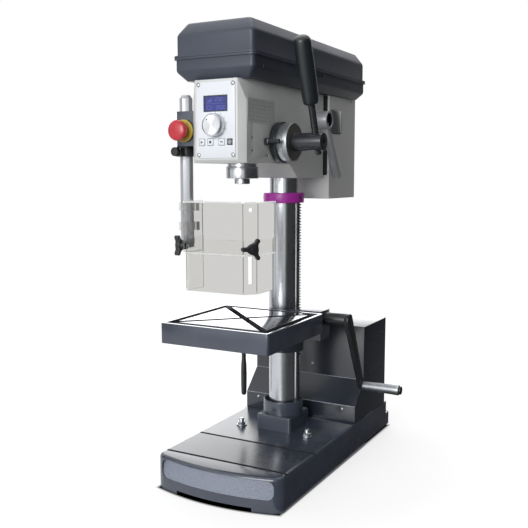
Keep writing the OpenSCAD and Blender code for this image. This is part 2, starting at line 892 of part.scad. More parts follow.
// Upright slot for one star knob's screw
module guard_slot(right, slot) {
    half = screw_r + 1;
    if (right == 1)
        star_right() block([-half, -half, -2], [slot - guard_lap / 2 + half, half, 6]);
    else
        star_left() block([-slot + guard_lap / 2 - half, -half, -2], [half, half, 6]);
}

// Three lobed knob, its back on z 0
module star_knob() {
    bite = 0.68 * star_d;
    cylinder(h = star_stem, r = 8);
    translate([0, 0, star_stem - 1]) linear_extrude(star_arm) difference() {
        circle(d = star_d);
        for (k = [0 : 2])
        rotate(k * 120 + 90) translate([0.9 * star_d, 0]) circle(r = bite);
    }
}

module star_with_screw() {
    translate([0, 0, 6 + gap]) star_knob();
    translate([0, 0, -2]) cylinder(h = 9, r = screw_r);
    translate([0, 0, -2]) cylinder(h = 6 - guard_t * 2 - shell_gap + 2 - gap, r = nut_r);
}

module star_knob_right() {
    color("#17181a") star_right() star_with_screw();
}

module star_knob_left() {
    color("#17181a") star_left() star_with_screw();
}

// Quill and spindle
module quill() {
    color("#c4c7cb") translate([0, -spindle_y, 0]) difference() {
        translate([0, 0, quill_z]) cylinder(h = quill_len, r = quill_r);
        translate([0, 0, quill_z - 1]) cylinder(h = quill_len + 2, r = spindle_d / 2 + 2);
        for (z = [quill_z - 1, quill_z + quill_len - 15])
        translate([0, 0, z]) cylinder(h = 16, r = seat_r);
        block([-pinion_w / 2 - 1, quill_rack + addendum, quill_z + 30],
            [pinion_w / 2 + 1, quill_r + 1, quill_z + quill_len + 1]);
        translate([-pinion_w / 2 - 1, quill_rack, feed_z]) rotate([90, 0, 90])
        linear_extrude(pinion_w + 2) rack_spaces(-3, ceil(quill_travel / tooth_pitch) + 1);
    }
}

module quill_bearings() {
    color("#a7abb0") translate([0, -spindle_y, 0])
    for (z = [quill_z, quill_z + quill_len - 15])
    ring(seat_r, spindle_d / 2 + fit, z, 15);
}

module spindle() {
    low = quill_z - nose_len;
    color("#c4c7cb") translate([0, -spindle_y, 0]) difference() {
        union() {
            translate([0, 0, low]) cylinder(h = nose_len - gap, r = nose_d / 2);
            translate([0, 0, low]) cylinder(h = spindle_top - low, r = spindle_d / 2);
        }
        translate([0, 0, low - eps]) cylinder(h = socket_depth, d1 = socket_d, d2 = socket_d - socket_depth / 20);
    }
}

module sleeve_bearings() {
    color("#a7abb0") translate([0, -spindle_y, 0])
    for (z = [bore_top + 1, head_top - 13])
    ring(bearing_r, sleeve_pulley_r + fit, z, 12);
}

module spindle_pulley() {
    color("#b9bcc0") translate([0, -spindle_y, 0]) difference() {
        union() {
            translate([0, 0, bore_top]) cylinder(h = belt_z - bore_top, r = sleeve_pulley_r);
            translate([0, 0, belt_z - 6]) cylinder(h = 4, r = big_pulley_d / 2 + 5);
            translate([0, 0, belt_z - 6]) cylinder(h = belt_w + 12, r = big_pulley_d / 2);
        }
        translate([0, 0, bore_top - 1]) cylinder(h = belt_z + belt_w - bore_top + 10, r = spindle_d / 2 + fit);
    }
}

// Feed group
module feed_shaft() {
    half = pinion_w / 2;
    color("#b9bcc0") {
        translate([-half, -feed_y, feed_z]) rotate([90, 0, 90]) linear_extrude(pinion_w)
        rotate(180) gear(feed_teeth);
        bar_x(half - eps, journal_x + eps, feed_off - quill_r - gap, -feed_y, feed_z);
        bar_x(journal_x, head_half, journal_r, -feed_y, feed_z);
        bar_x(-head_half - 16, 1 - half, axle_r - 3, -feed_y, feed_z);
        bar_x(head_half - eps, lever_x - lever_d / 2 - 4, axle_r, -feed_y, feed_z);
    }
}

module scale_drum() {
    color("#c9ccd0") difference() {
        union() {
            bar_x(drum_x, hub_x, drum_d / 2, -feed_y, feed_z);
            bar_x(head_half + gap, drum_x + eps, neck_r, -feed_y, feed_z);
        }
        bar_x(head_half - 1, hub_x + 1, axle_r, -feed_y, feed_z);
    }
}

module lever_hub() {
    color("#202226") difference() {
        bar_x(hub_x, hub_x + hub_len, hub_d / 2, -feed_y, feed_z);
        bar_x(hub_x - 1, lever_x - lever_d / 2 - 4, axle_r, -feed_y, feed_z);
        bar_x(hub_x + hub_len - 6, hub_x + hub_len + 1, 5, -feed_y, feed_z);
        lever_frame() translate([0, 0, -hub_d]) cylinder(h = 2 * hub_d, r = lever_d / 2);
    }
}

// Frame of the lever: +Z runs along the lever from the feed axis
module lever_frame() {
    translate([lever_x, -feed_y, feed_z]) rotate([lever_lean, 0, 0]) children();
}

module lever_rod() {
    color("#17181a") lever_frame() translate([0, 0, -hub_d / 2 - 8])
    cylinder(h = hub_d / 2 + 8 + grip_start + grip_len - 20, r = lever_d / 2);
}

module lever_grip() {
    r = grip_d / 2;
    tip = grip_start + grip_len;
    color("#2b3335") lever_frame() rotate_extrude() polygon([
        [lever_d / 2, grip_start], [0.8 * r, grip_start], [0.92 * r, grip_start + 5], [r, grip_start + 50],
        [r, tip - 12], [0.9 * r, tip - 5], [0.6 * r, tip], [0, tip], [0, tip - 20], [lever_d / 2, tip - 20]]);
}

module depth_ring() {
    x0 = stop_ring_x;
    color("#17181a") difference() {
        union() {
            bar_x(x0, x0 + stop_ring_w, stop_ring_d / 2, -feed_y, feed_z);
            block([x0, -feed_y - lug_r - 7, feed_z - 7], [x0 + stop_ring_w, -feed_y - stop_ring_d / 2 + 3,
                feed_z + 7]);
        }
        bar_x(x0 - 1, x0 + stop_ring_w + 1, neck_r + fit, -feed_y, feed_z);
        bar_x(x0 - 1, x0 + stop_ring_w + 1, 3.5 + fit, -feed_y - lug_r, feed_z);
    }
}

module stop_screw() {
    x0 = stop_ring_x;
    color("#17181a") {
        bar_x(x0 + 0.3, x0 + stop_ring_w + 3, 3.5, -feed_y - lug_r, feed_z);
        bar_x(x0 + stop_ring_w + gap, x0 + stop_ring_w + 22, 5, -feed_y - lug_r, feed_z);
    }
}

module spring_housing() {
    x1 = -head_half;
    color("#3a3d45") difference() {
        bar_x(x1 - 26, x1, spring_r + 3, -feed_y, feed_z);
        bar_x(x1 - 23, x1 + 1, spring_r, -feed_y, feed_z);
    }
}

module return_spring() {
    turns = 5;
    steps = 24;
    wire = 0.8;
    r0 = axle_r - 3 + wire / 2 + gap;
    pitch = (spring_r - gap - wire / 2 - r0) / turns;
    spiral = [for (k = [0 : turns * steps]) let (a = k * 360 / steps) [r0 + pitch * a / 360, a]];
    color("#55595f") translate([-head_half - 20, -feed_y, feed_z]) rotate([90, 0, 90]) linear_extrude(16)
    polygon(concat([for (p = spiral) (p[0] - wire / 2) * [cos(p[1]), sin(p[1])]],
        [for (k = [len(spiral) - 1 : -1 : 0]) (spiral[k][0] + wire / 2) * [cos(spiral[k][1]),
            sin(spiral[k][1])]]));
}

// Belt drive
module belt_loop(grow) {
    d = motor_y + spindle_y;
    ra = big_pulley_d / 2 + grow;
    rb = small_pulley_d / 2 + grow;
    lean = asin((ra - rb) / d);
    steps = 24;
    big = [for (k = [0 : steps]) let (a = 180 - lean + k * (180 + 2 * lean) / steps)
        [ra * cos(a), ra * sin(a) - spindle_y]];
    small = [for (k = [0 : steps]) let (a = lean + k * (180 - 2 * lean) / steps)
        [rb * cos(a), rb * sin(a) + motor_y]];
    polygon(concat(big, small));
}

module belt() {
    color("#1b1c1e") translate([0, 0, belt_z]) linear_extrude(belt_w) difference() {
        belt_loop(gap + belt_t);
        belt_loop(gap);
    }
}

module motor_pulley() {
    color("#b9bcc0") translate([0, motor_y, 0]) {
        translate([0, 0, belt_z - 6]) cylinder(h = belt_w + 12, r = small_pulley_d / 2);
        translate([0, 0, belt_z + belt_w + 2]) cylinder(h = 4, r = small_pulley_d / 2 + 5);
        translate([0, 0, box_z + motor_h - 30]) cylinder(h = belt_z - box_z - motor_h + 30, r = 10);
    }
}

module motor() {
    low = box_z + box_t;
    color("#55595f") translate([0, motor_y, 0]) difference() {
        translate([0, 0, low]) cylinder(h = motor_h, r = motor_d / 2);
        translate([0, 0, low + motor_h - 40]) cylinder(h = 50, r = 10 + fit);
    }
}

module motor_box() {
    color("#d9dbdd") difference() {
        block([-box_half, box_front, box_z], [box_half, box_rear, box_top]);
        block([box_t - box_half, box_front + 12, box_z + box_t],
            [box_half - box_t, box_rear - box_t, box_top - box_t]);
        translate([0, motor_y, box_top - box_t - 1]) cylinder(h = box_t + 2, r = 16);
        for (x = [-slide_x, slide_x])
        bar_y(box_front - 1, box_front + 13, slide_d / 2 + fit, x, slide_z);
    }
}

module slide_rods() {
    color("#c4c7cb") for (x = [-slide_x, slide_x])
    bar_y(head_rear - 50, box_front + 16, slide_d / 2, x, slide_z);
}

module tension_lever() {
    x1 = tension_x + 35;
    bar_mid = tension_x + 20;
    bar_half = 8;
    color("#c9ccd0") {
        bar_x(tension_x, x1, tension_d / 2, tension_y, tension_z);
        bar_x(head_half - 18, tension_x + 1, shaft_r, tension_y, tension_z);
        translate([bar_mid, tension_y, tension_z]) rotate([tension_lean, 0, 0])
        block([-bar_half, -6, -tension_len], [bar_half, 6, 0]);
    }
}

// Hood
module hinge_lug(y) {
    block([hinge_x - knuckle_r, y, part_z - 10], [-lip_half + 2, y + 8, part_z]);
    bar_y(y, y + 8, knuckle_r, hinge_x, part_z + 1);
}

module hood_tray() {
    wall = tray_wall;
    front = lip_front - lip_over;
    rear = lip_rear - lip_over;
    in = tray_inset;
    mid = tray_z + tray_bevel;
    color("#3a3d45") difference() {
        union() {
            hull() {
                hood_slab(wall - in, front - in, rear - in, hood_r, tray_z, 1);
                hood_slab(wall, front, rear, hood_r, mid, part_z - mid - eps);
            }
            hull() hood_slab(lip_half, lip_front, lip_rear, hood_r + lip_over, part_z - lip_h, lip_h);
            for (y = hinge_places)
            for (s = [0, knuckle_len - 8])
            hinge_lug(y + s);
            for (y = hinge_places)
            bar_y(y + 4, y + knuckle_len - 4, hinge_d / 2, hinge_x, part_z + 1);
        }
        hull() {
            hood_slab(wall - in, front - in, rear - in, hood_r, tray_z + hood_t, 1);
            hood_slab(wall - hood_t, front - hood_t, rear - hood_t, hood_r, mid + hood_t, part_z - mid);
        }
        translate([0, -spindle_y, tray_z - 1]) cylinder(h = 9, r = bearing_r + 4);
        translate([0, motor_y - 8, tray_z - 1]) cylinder(h = 9, r = 14);
        block([-14, motor_y - 8, tray_z - 1], [14, motor_y, tray_z + 8]);
        translate([0, motor_y, tray_z - 1]) cylinder(h = 9, r = 14);
    }
}

module hood_lid() {
    low = part_z + gap;
    wall = lip_half - lid_inset;
    front = lip_front - lid_inset;
    rear = lip_rear - lid_inset;
    in = lid_slope;
    mid = lid_top - lid_bevel;
    color("#3a3d45") difference() {
        union() {
            hull() hood_slab(lip_half, lip_front, lip_rear, hood_r + lip_over, low, lip_h - gap);
            hull() {
                hood_slab(wall, front, rear, hood_r, low, mid - low);
                hood_slab(wall - in, front - in, rear - in, hood_r, lid_top - 1, 1);
            }
            for (y = hinge_places) {
                bar_y(y + 9, y + knuckle_len - 9, knuckle_r, hinge_x, part_z + 1);
                block([hinge_x, y + 9, low + 0.6], [-lip_half + 4, y + knuckle_len - 9, low + lip_h]);
            }
        }
        hull() {
            hood_slab(wall - hood_t, front - hood_t, rear - hood_t, hood_r, low - 1, mid - low - hood_t);
            hood_slab(wall - in, front - in, rear - in, hood_r, lid_top - 1 - hood_t, 1);
        }
        for (y = hinge_places)
        bar_y(y + 8, y + knuckle_len - 8, hinge_d / 2 + fit, hinge_x, part_z + 1);
    }
}

// Cabinet
module cabinet() {
    t = sheet_t;
    half = cabinet_w / 2;
    f = [[cabinet_low_y + t, base_h], [cabinet_low_y + t, bend_low - 1], [cabinet_front_y + t, bend_top - 1],
        [cabinet_front_y + t, cabinet_top]];
    color("#3a3d45") difference() {
        across(half) polygon(concat(f, [[cabinet_rear_y, cabinet_top], [cabinet_rear_y, base_h]]));
        across(half - t) polygon([[cabinet_low_y, base_h - 1], [cabinet_low_y, bend_low - 1],
            [cabinet_front_y, bend_top - 1], [cabinet_front_y, cabinet_top - t],
            [cabinet_rear_y - t, cabinet_top - t], [cabinet_rear_y - t, base_h - 1]]);
        for (z = [base_h + 22, base_h + 52])
        bar_y(cabinet_rear_y - 5, cabinet_rear_y + 1, gland_r, half - 22, z);
    }
}

module cabinet_front() {
    t = sheet_t;
    color("#3a3d45") across(cabinet_w / 2) polygon([
        [cabinet_low_y, base_h], [cabinet_low_y, bend_low], [cabinet_front_y, bend_top],
        [cabinet_front_y, cabinet_top], [cabinet_front_y + t, cabinet_top], [cabinet_front_y + t, bend_top - 1],
        [cabinet_low_y + t, bend_low - 1], [cabinet_low_y + t, base_h]]);
}

module drive_unit() {
    rear = cabinet_rear_y - drive_back;
    color("#55595f") block([-drive_w / 2, rear - drive_d, base_h], [drive_w / 2, rear, base_h + drive_h]);
}

module cable_glands() {
    x = cabinet_w / 2 - 22;
    color("#17181a") for (z = [base_h + 22, base_h + 52]) {
        bar_y(cabinet_rear_y - 8, cabinet_rear_y + 12, gland_r, x, z);
        bar_y(cabinet_rear_y, cabinet_rear_y + 6, gland_r + 3, x, z);
    }
}

// Table group
module table_bracket() {
    split = 1.5;
    color("#2f323a") difference() {
        union() {
            translate([0, 0, bracket_z]) cylinder(h = sleeve_top - bracket_z, r = sleeve_r);
            block([-lock_x - 12, -lug_half, lock_z - 24], [-column_r, lug_half, lock_z + 24]);
            block([column_r, -housing_half, lift_z - 24], [housing_x, housing_half, housing_top]);
            block([-arm_w / 2, -table_mid - 60, table_low - 40], [arm_w / 2, -column_r, table_low]);
        }
        translate([0, 0, bracket_z - 1]) cylinder(h = sleeve_top - bracket_z + 2, r = column_r + fit);
        block([0, -rack_w / 2 - gap, bracket_z - 1], [rack_tip + gap, rack_w / 2 + gap, housing_top + 1]);
        block([column_r, -14, lift_z - 19], [worm_x0 + worm_turns * tooth_pitch + 4, 14, crank_z + 13]);
        bar_x(lift_x, housing_x + 1, shaft_r + fit, 0, crank_z);
        bar_y(-housing_half - 1, housing_half + 1, pin_r + fit, lift_x, lift_z);
        block([-lock_x - 13, -split, lock_z - 25], [-column_r + 2, split, lock_z + 25]);
        bar_y(-lug_half - 1, lug_half + 1, 6 + fit, -lock_x, lock_z);
    }
}

module table() {
    half = table_w / 2;
    front = -table_rear - table_d;
    inner = half - rim_w;
    face = inner - gutter_w;
    fd = table_d / 2 - rim_w;
    color("#2f323a") difference() {
        block([-half, front, table_z - skirt_h], [half, -table_rear, table_z]);
        block([skirt_t - half, front + skirt_t, table_z - skirt_h - 1],
            [half - skirt_t, -table_rear - skirt_t, table_low]);
        block([-arm_w / 2 - 1, -table_rear - skirt_t - 1, table_z - skirt_h - 1],
            [arm_w / 2 + 1, -table_rear + 1, table_low]);
        translate([0, -table_mid, table_z - gutter_d]) linear_extrude(gutter_d + 1) difference() {
            square([2 * inner, 2 * fd], center = true);
            square([2 * face, 2 * (fd - gutter_w)], center = true);
        }
        for (a = [45, -45])
        translate([0, -table_mid, 0]) rotate(a) {
            block([-slot_reach(), -slot_w / 2, table_z - slot_d - 1], [slot_reach(), slot_w / 2, table_z + 1]);
            block([-slot_reach(), -slot_foot_w / 2, table_z - slot_d - slot_foot_h],
                [slot_reach(), slot_foot_w / 2, table_z - slot_d]);
        }
    }
}

function slot_reach() = (min(table_w, table_d) / 2 - rim_w - gutter_w / 2 - 2) * sqrt(2);

module lock_lever() {
    y = -lug_half - gap;
    color("#17181a") {
        bar_y(y - 1, lug_half + 8, 6, -lock_x, lock_z);
        bar_y(lug_half + gap, lug_half + 8, 10, -lock_x, lock_z);
        bar_y(y - 11, y, 11, -lock_x, lock_z);
        block([-lock_x - 6, y - 11, lock_z - lock_len], [-lock_x + 6, y, lock_z]);
    }
}

// Worm outline: radius against angle, one tooth on the +X axis
function worm_radius(a) =
    let (half = tooth_pitch / 4 - backlash)
    let (s = abs(a) * tooth_pitch / 360)
    max(worm_r - dedendum, min(worm_r + addendum, worm_r + (half - s) / tan(pressure)));

module worm_shaft() {
    len = worm_turns * tooth_pitch;
    space = (floor(lift_teeth / 4) + 0.5 - lift_teeth / 4) * tooth_pitch;
    turn = 360 * (lift_x + space - worm_x0) / tooth_pitch;
    steps = 18;
    color("#b9bcc0") {
        translate([worm_x0, 0, crank_z]) rotate([0, 90, 0]) rotate(-turn)
        linear_extrude(len, twist = -360 * worm_turns, slices = steps * worm_turns, segments = steps)
        polygon([for (k = [0 : steps - 1]) let (a = (k - steps / 2) * 360 / steps)
            worm_radius(a) * [cos(a), sin(a)]]);
        bar_x(worm_x0 + len - eps, crank_x - 2, shaft_r, 0, crank_z);
    }
}

module crank_arm() {
    tip = crank_x + crank_t;
    color("#202226") difference() {
        union() {
            bar_x(housing_x + gap, crank_x + eps, crank_hub_r, 0, crank_z);
            hull() {
                bar_x(crank_x, tip, crank_hub_r, 0, crank_z, $fn = facet_n);
                bar_x(crank_x, tip, 9, crank_pin_y, crank_pin_z, $fn = facet_n);
            }
            bar_x(tip - 1, tip + gap + handle_len + gap, pin_r, crank_pin_y, crank_pin_z);
            bar_x(tip + 2 * gap + handle_len, tip + handle_len + 4, 9, crank_pin_y, crank_pin_z);
        }
        bar_x(housing_x, crank_x - 2, shaft_r, 0, crank_z);
    }
}

module crank_handle() {
    x0 = crank_x + crank_t + gap;
    color("#c9ccd0") difference() {
        bar_x(x0, x0 + handle_len, handle_d / 2, crank_pin_y, crank_pin_z);
        bar_x(x0 - 1, x0 + handle_len + 1, pin_r + fit, crank_pin_y, crank_pin_z);
    }
}

module lift_gear() {
    half = lift_w / 2;
    color("#b9bcc0") {
        translate([lift_x, half, lift_z]) rotate([90, 0, 0]) linear_extrude(lift_w) rotate(180) gear(lift_teeth);
        bar_y(-housing_half, housing_half, pin_r, lift_x, lift_z);
    }
}

base();
base_bolts();
column_foot();
column();
rack_ring();
head_casting();
quill_guide();
panel_plate();
display();
case_screws();
hood_tray();
sleeve_bearings();
spring_housing();
return_spring();
cabinet();
cabinet_front();
drive_unit();
cable_glands();
stop_block();
stop_collar();
slide_rods();
info_plate();
belt();
hood_lid();
feed_shaft();
scale_drum();
lever_hub();
lever_rod();
lever_grip();
quill();
quill_bearings();
spindle();
spindle_pulley();
motor_box();
motor();
motor_pulley();
tension_lever();
rack();
table_bracket();
table();
lock_lever();
worm_shaft();
crank_arm();
crank_handle();
lift_gear();
depth_ring();
stop_screw();
rod_clamp();
clamp_knob();
guard_rod();
guard_upper();
guard_lower();
star_knob_right();
star_knob_left();
stop_button();
control_knob();
key(0);  // key_1
key(1);  // key_2
key(2);  // key_3
key(3);  // key_4
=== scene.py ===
import json
import math
from types import SimpleNamespace

import bpy
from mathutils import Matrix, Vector

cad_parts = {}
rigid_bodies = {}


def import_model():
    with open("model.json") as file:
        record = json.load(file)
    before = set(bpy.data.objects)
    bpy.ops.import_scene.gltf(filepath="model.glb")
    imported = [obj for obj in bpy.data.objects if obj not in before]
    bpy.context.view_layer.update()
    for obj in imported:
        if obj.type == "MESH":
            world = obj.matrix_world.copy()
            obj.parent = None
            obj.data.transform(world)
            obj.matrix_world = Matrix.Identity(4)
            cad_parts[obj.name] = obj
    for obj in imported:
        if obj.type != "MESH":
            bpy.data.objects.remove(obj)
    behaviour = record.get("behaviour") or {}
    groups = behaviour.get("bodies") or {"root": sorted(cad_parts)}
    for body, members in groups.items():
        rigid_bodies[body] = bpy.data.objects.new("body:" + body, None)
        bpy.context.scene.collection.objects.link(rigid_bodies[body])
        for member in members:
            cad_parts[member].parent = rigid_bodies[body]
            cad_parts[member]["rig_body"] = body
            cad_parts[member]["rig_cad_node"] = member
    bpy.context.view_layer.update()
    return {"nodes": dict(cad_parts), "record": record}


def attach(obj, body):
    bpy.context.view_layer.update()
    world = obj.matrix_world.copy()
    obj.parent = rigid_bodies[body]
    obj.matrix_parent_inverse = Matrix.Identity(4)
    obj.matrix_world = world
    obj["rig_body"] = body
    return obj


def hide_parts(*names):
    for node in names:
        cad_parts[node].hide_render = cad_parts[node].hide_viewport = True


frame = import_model()
mm = 0.001
toRight, toBack, toTop = Vector((1, 0, 0)), Vector((0, 1, 0)), Vector((0, 0, 1))
slotOf = {part["node"]: part["material_slot"] for part in frame["record"]["subparts"]}
bodyOf = {node: body for body, nodes in frame["record"]["behaviour"]["bodies"].items() for node in nodes}
finishes, made = {}, set()
print("frame loaded,", len(frame["nodes"]), "nodes")


# ways of working

def at(x, y, z):
    return Vector((x, y, z)) * mm


def named(sizes):
    return SimpleNamespace(**sizes)


def toLinear(code):
    parts = [int(code[k:k + 2], 16) / 255 for k in (1, 3, 5)]
    return tuple(c / 12.92 if c <= 0.04045 else ((c + 0.055) / 1.055) ** 2.4 for c in parts) + (1.0,)


def addNode(tree, kind, settings=None):
    # another node's socket among the settings is linked, and all else is set
    node = tree.nodes.new("ShaderNode" + kind)
    for name, value in (settings or {}).items():
        if isinstance(value, bpy.types.NodeSocket):
            tree.links.new(value, node.inputs[name])
        elif isinstance(name, int) or name in node.inputs:
            node.inputs[name].default_value = value
        else:
            setattr(node, name, value)
    return node


def newFinish(name):
    finishes[name] = finish = bpy.data.materials.new(name)
    finish.use_nodes = True
    tree = finish.node_tree
    return tree, tree.nodes["Principled BSDF"], addNode(tree, "TexCoord").outputs["Object"]


def setColours(ramp, codes, stops=(0.3, 0.7)):
    for element, code, place in zip(ramp.color_ramp.elements, codes, stops):
        element.position = place
        element.color = toLinear(code)


def leaveEdit():
    bpy.ops.object.mode_set(mode="OBJECT")


def deselect():
    if bpy.context.object and bpy.context.object.mode != "OBJECT":
        leaveEdit()
    bpy.ops.object.select_all(action="DESELECT")


def pickObject(obj):
    deselect()
    obj.select_set(True)
    bpy.context.view_layer.objects.active = obj


def edit(obj, part="FACE", action="SELECT"):
    pickObject(obj)
    bpy.ops.object.mode_set(mode="EDIT")
    bpy.ops.mesh.select_mode(type=part)
    bpy.ops.mesh.select_all(action=action)


def pick(obj, part, test):
    # stays in edit mode with just the points, edges or faces that pass the test
    edit(obj, part, "DESELECT")
    leaveEdit()
    mesh = obj.data
    if part == "FACE":
        for face in mesh.polygons:
            face.select = test(face.center, face.normal)
    elif part == "EDGE":
        for edge in mesh.edges:
            edge.select = test(*(mesh.vertices[k].co for k in edge.vertices))
    else:
        for point in mesh.vertices:
            point.select = test(point.co)
    bpy.ops.object.mode_set(mode="EDIT")


def applyModifier(obj, kind, settings):
    modifier = obj.modifiers.new("work", kind)
    for name, value in settings.items():
        setattr(modifier, name, value)
    pickObject(obj)
    bpy.ops.object.modifier_apply(modifier=modifier.name)


def softEdges(obj, width, steps=2, angle=30):
    applyModifier(obj, "BEVEL", {"width": width * mm, "segments": steps, "limit_method": "ANGLE",
                                 "angle_limit": math.radians(angle), "use_clamp_overlap": True})


def combine(obj, other, how="DIFFERENCE"):
    applyModifier(obj, "BOOLEAN", {"operation": how, "solver": "EXACT", "object": other})
    bpy.data.objects.remove(other)


def roundEdges(obj, test, width, steps=3):
    pick(obj, "EDGE", test)
    bpy.ops.mesh.bevel(offset=width * mm, segments=steps, affect="EDGES")
    leaveEdit()


def smooth(obj, angle=32):
    pickObject(obj)
    bpy.ops.object.shade_smooth_by_angle(angle=math.radians(angle))


def splitAt(obj, place, out, **settings):
    edit(obj)
    bpy.ops.mesh.bisect(plane_co=place, plane_no=out, **settings)
    leaveEdit()


def copyNode(node, name):
    # a clean copy of a CAD node to work on: loose triangles merged into flat faces
    pickObject(frame["nodes"][node])
    bpy.ops.object.duplicate()
    piece = bpy.context.active_object
    bpy.ops.object.parent_clear(type="CLEAR_KEEP_TRANSFORM")
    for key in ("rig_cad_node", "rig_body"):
        if key in piece:
            del piece[key]
    piece.name = name
    edit(piece)
    bpy.ops.mesh.remove_doubles(threshold=1e-5)
    bpy.ops.mesh.dissolve_limited(angle_limit=math.radians(0.5))
    leaveEdit()
    return piece


def drawLine(name, points):
    points = [Vector(p) for p in points]
    deselect()
    bpy.ops.mesh.primitive_plane_add(size=mm)
    obj = bpy.context.object
    obj.name = name
    edit(obj, "VERT")
    bpy.ops.mesh.merge(type="CENTER")
    bpy.ops.transform.translate(value=points[0])
    for last, point in zip(points, points[1:]):
        bpy.ops.mesh.extrude_vertices_move(TRANSFORM_OT_translate={"value": point - last})
    bpy.ops.mesh.select_all(action="SELECT")
    return obj


def pushOut(push):
    bpy.ops.mesh.extrude_region_move(TRANSFORM_OT_translate={"value": Vector(push)})


def closeUp(obj, finish):
    bpy.ops.mesh.select_all(action="SELECT")
    bpy.ops.mesh.normals_make_consistent(inside=False)
    leaveEdit()
    if finish:
        paint(obj, finish)
    return obj


def turned(name, profile, centre, along, steps=64, finish=None):
    # profile of (radius, distance along the axis) in mm, spun round the axis
    across = toTop if abs(along.x) > 0.01 else toRight
    obj = drawLine(name, [centre + across * r * mm + along * t * mm for r, t in profile])
    bpy.ops.mesh.spin(steps=steps, angle=math.tau, center=centre, axis=along)
    bpy.ops.mesh.select_all(action="SELECT")
    bpy.ops.mesh.remove_doubles(threshold=2e-6)
    return closeUp(obj, finish)


def plate(name, outline, push, corner=0, steps=5, finish=None):
    # a flat outline, filled, its corners rounded, and drawn out along push
    obj = drawLine(name, outline)
    bpy.ops.mesh.edge_face_add()
    if corner:
        bpy.ops.mesh.bevel(offset=corner * mm, segments=steps, affect="VERTICES")
        bpy.ops.mesh.select_all(action="SELECT")
        bpy.ops.mesh.remove_doubles(threshold=1e-6)
        bpy.ops.mesh.select_mode(type="FACE")
        bpy.ops.mesh.select_all(action="SELECT")
    pushOut(push)
    return closeUp(obj, finish)


def oblong(low, high):
    # the corners of a rectangle, in order
    return ((low[0], low[1]), (high[0], low[1]), (high[0], high[1]), (low[0], high[1]))


def brick(name, low, high, finish=None):
    deselect()
    bpy.ops.mesh.primitive_cube_add(size=1, location=(low + high) / 2, scale=high - low)
    obj = bpy.context.object
    bpy.ops.object.transform_apply(location=True, rotation=True, scale=True)
    obj.name = name
    if finish:
        paint(obj, finish)
    return obj


def bend(r, t, edge, out, steps=3):
    # a quarter round on a turned profile, out from the end face to the side or back in
    turns = [math.pi / 2 * k / steps for k in range(steps + 1)]
    if out > 0:
        return [(r - edge + edge * math.sin(a), t + edge * (1 - math.cos(a))) for a in turns]
    return [(r - edge + edge * math.cos(a), t - edge * (1 - math.sin(a))) for a in turns]


def rim(r, low, high, lowEdge, highEdge):
    return bend(r, low, lowEdge, 1) + bend(r, high, highEdge, -1)


def roundBar(r, low, high, edge):
    return [(0, low)] + rim(r, low, high, edge, edge) + [(0, high)]


def roundRing(r, hole, low, high, edge):
    return [(hole, low)] + rim(r, low, high, edge, edge) + [(hole, high), (hole, low)]


def screwHead(seat, out, r=3.2, high=1.6, finish="zincSteel"):
    # pan head with a socket; seat is the face it sits on
    socket, floor = 0.48 * r, 0.35 * high
    line = [(0, floor), (socket, floor), (socket, high), (0.72 * r, high), (0.92 * r, 0.8 * high),
            (r, 0.5 * high), (r, 0)]
    return turned("screw", line, seat, out, 24, finish)


def repeatAround(obj, count, centre, axis):
    # copies the whole mesh round an axis
    edit(obj)
    bpy.ops.mesh.spin(steps=count, dupli=True, angle=math.tau, center=centre, axis=axis)
    bpy.ops.mesh.select_all(action="SELECT")
    bpy.ops.mesh.remove_doubles(threshold=1e-6)
    leaveEdit()


def joined(name, parts):
    deselect()
    for part in parts:
        part.select_set(True)
    bpy.context.view_layer.objects.active = parts[0]
    if len(parts) > 1:
        bpy.ops.object.join()
    obj = bpy.context.object
    obj.name = name
    return obj


def paint(obj, *names):
    obj.data.materials.clear()
    for name in names:
        obj.data.materials.append(finishes[name])


def paintFaces(obj, index, test):
    pick(obj, "FACE", test)
    obj.active_material_index = index
    bpy.ops.object.material_slot_assign()
    leaveEdit()


def hang(obj, body, slotName, *nodes):
    pickObject(obj)
    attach(obj, body)
    if nodes:
        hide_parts(*nodes)


def standFor(obj, node):
    # the piece takes the node's place, on its body
    hang(obj, bodyOf[node], slotOf[node], node)
    made.add(node)


def fit(obj, node, *names, angle=32):
    # paints and smooths a piece and puts it in its node's place
    if names:
        paint(obj, *names)
    smooth(obj, angle)
    standFor(obj, node)


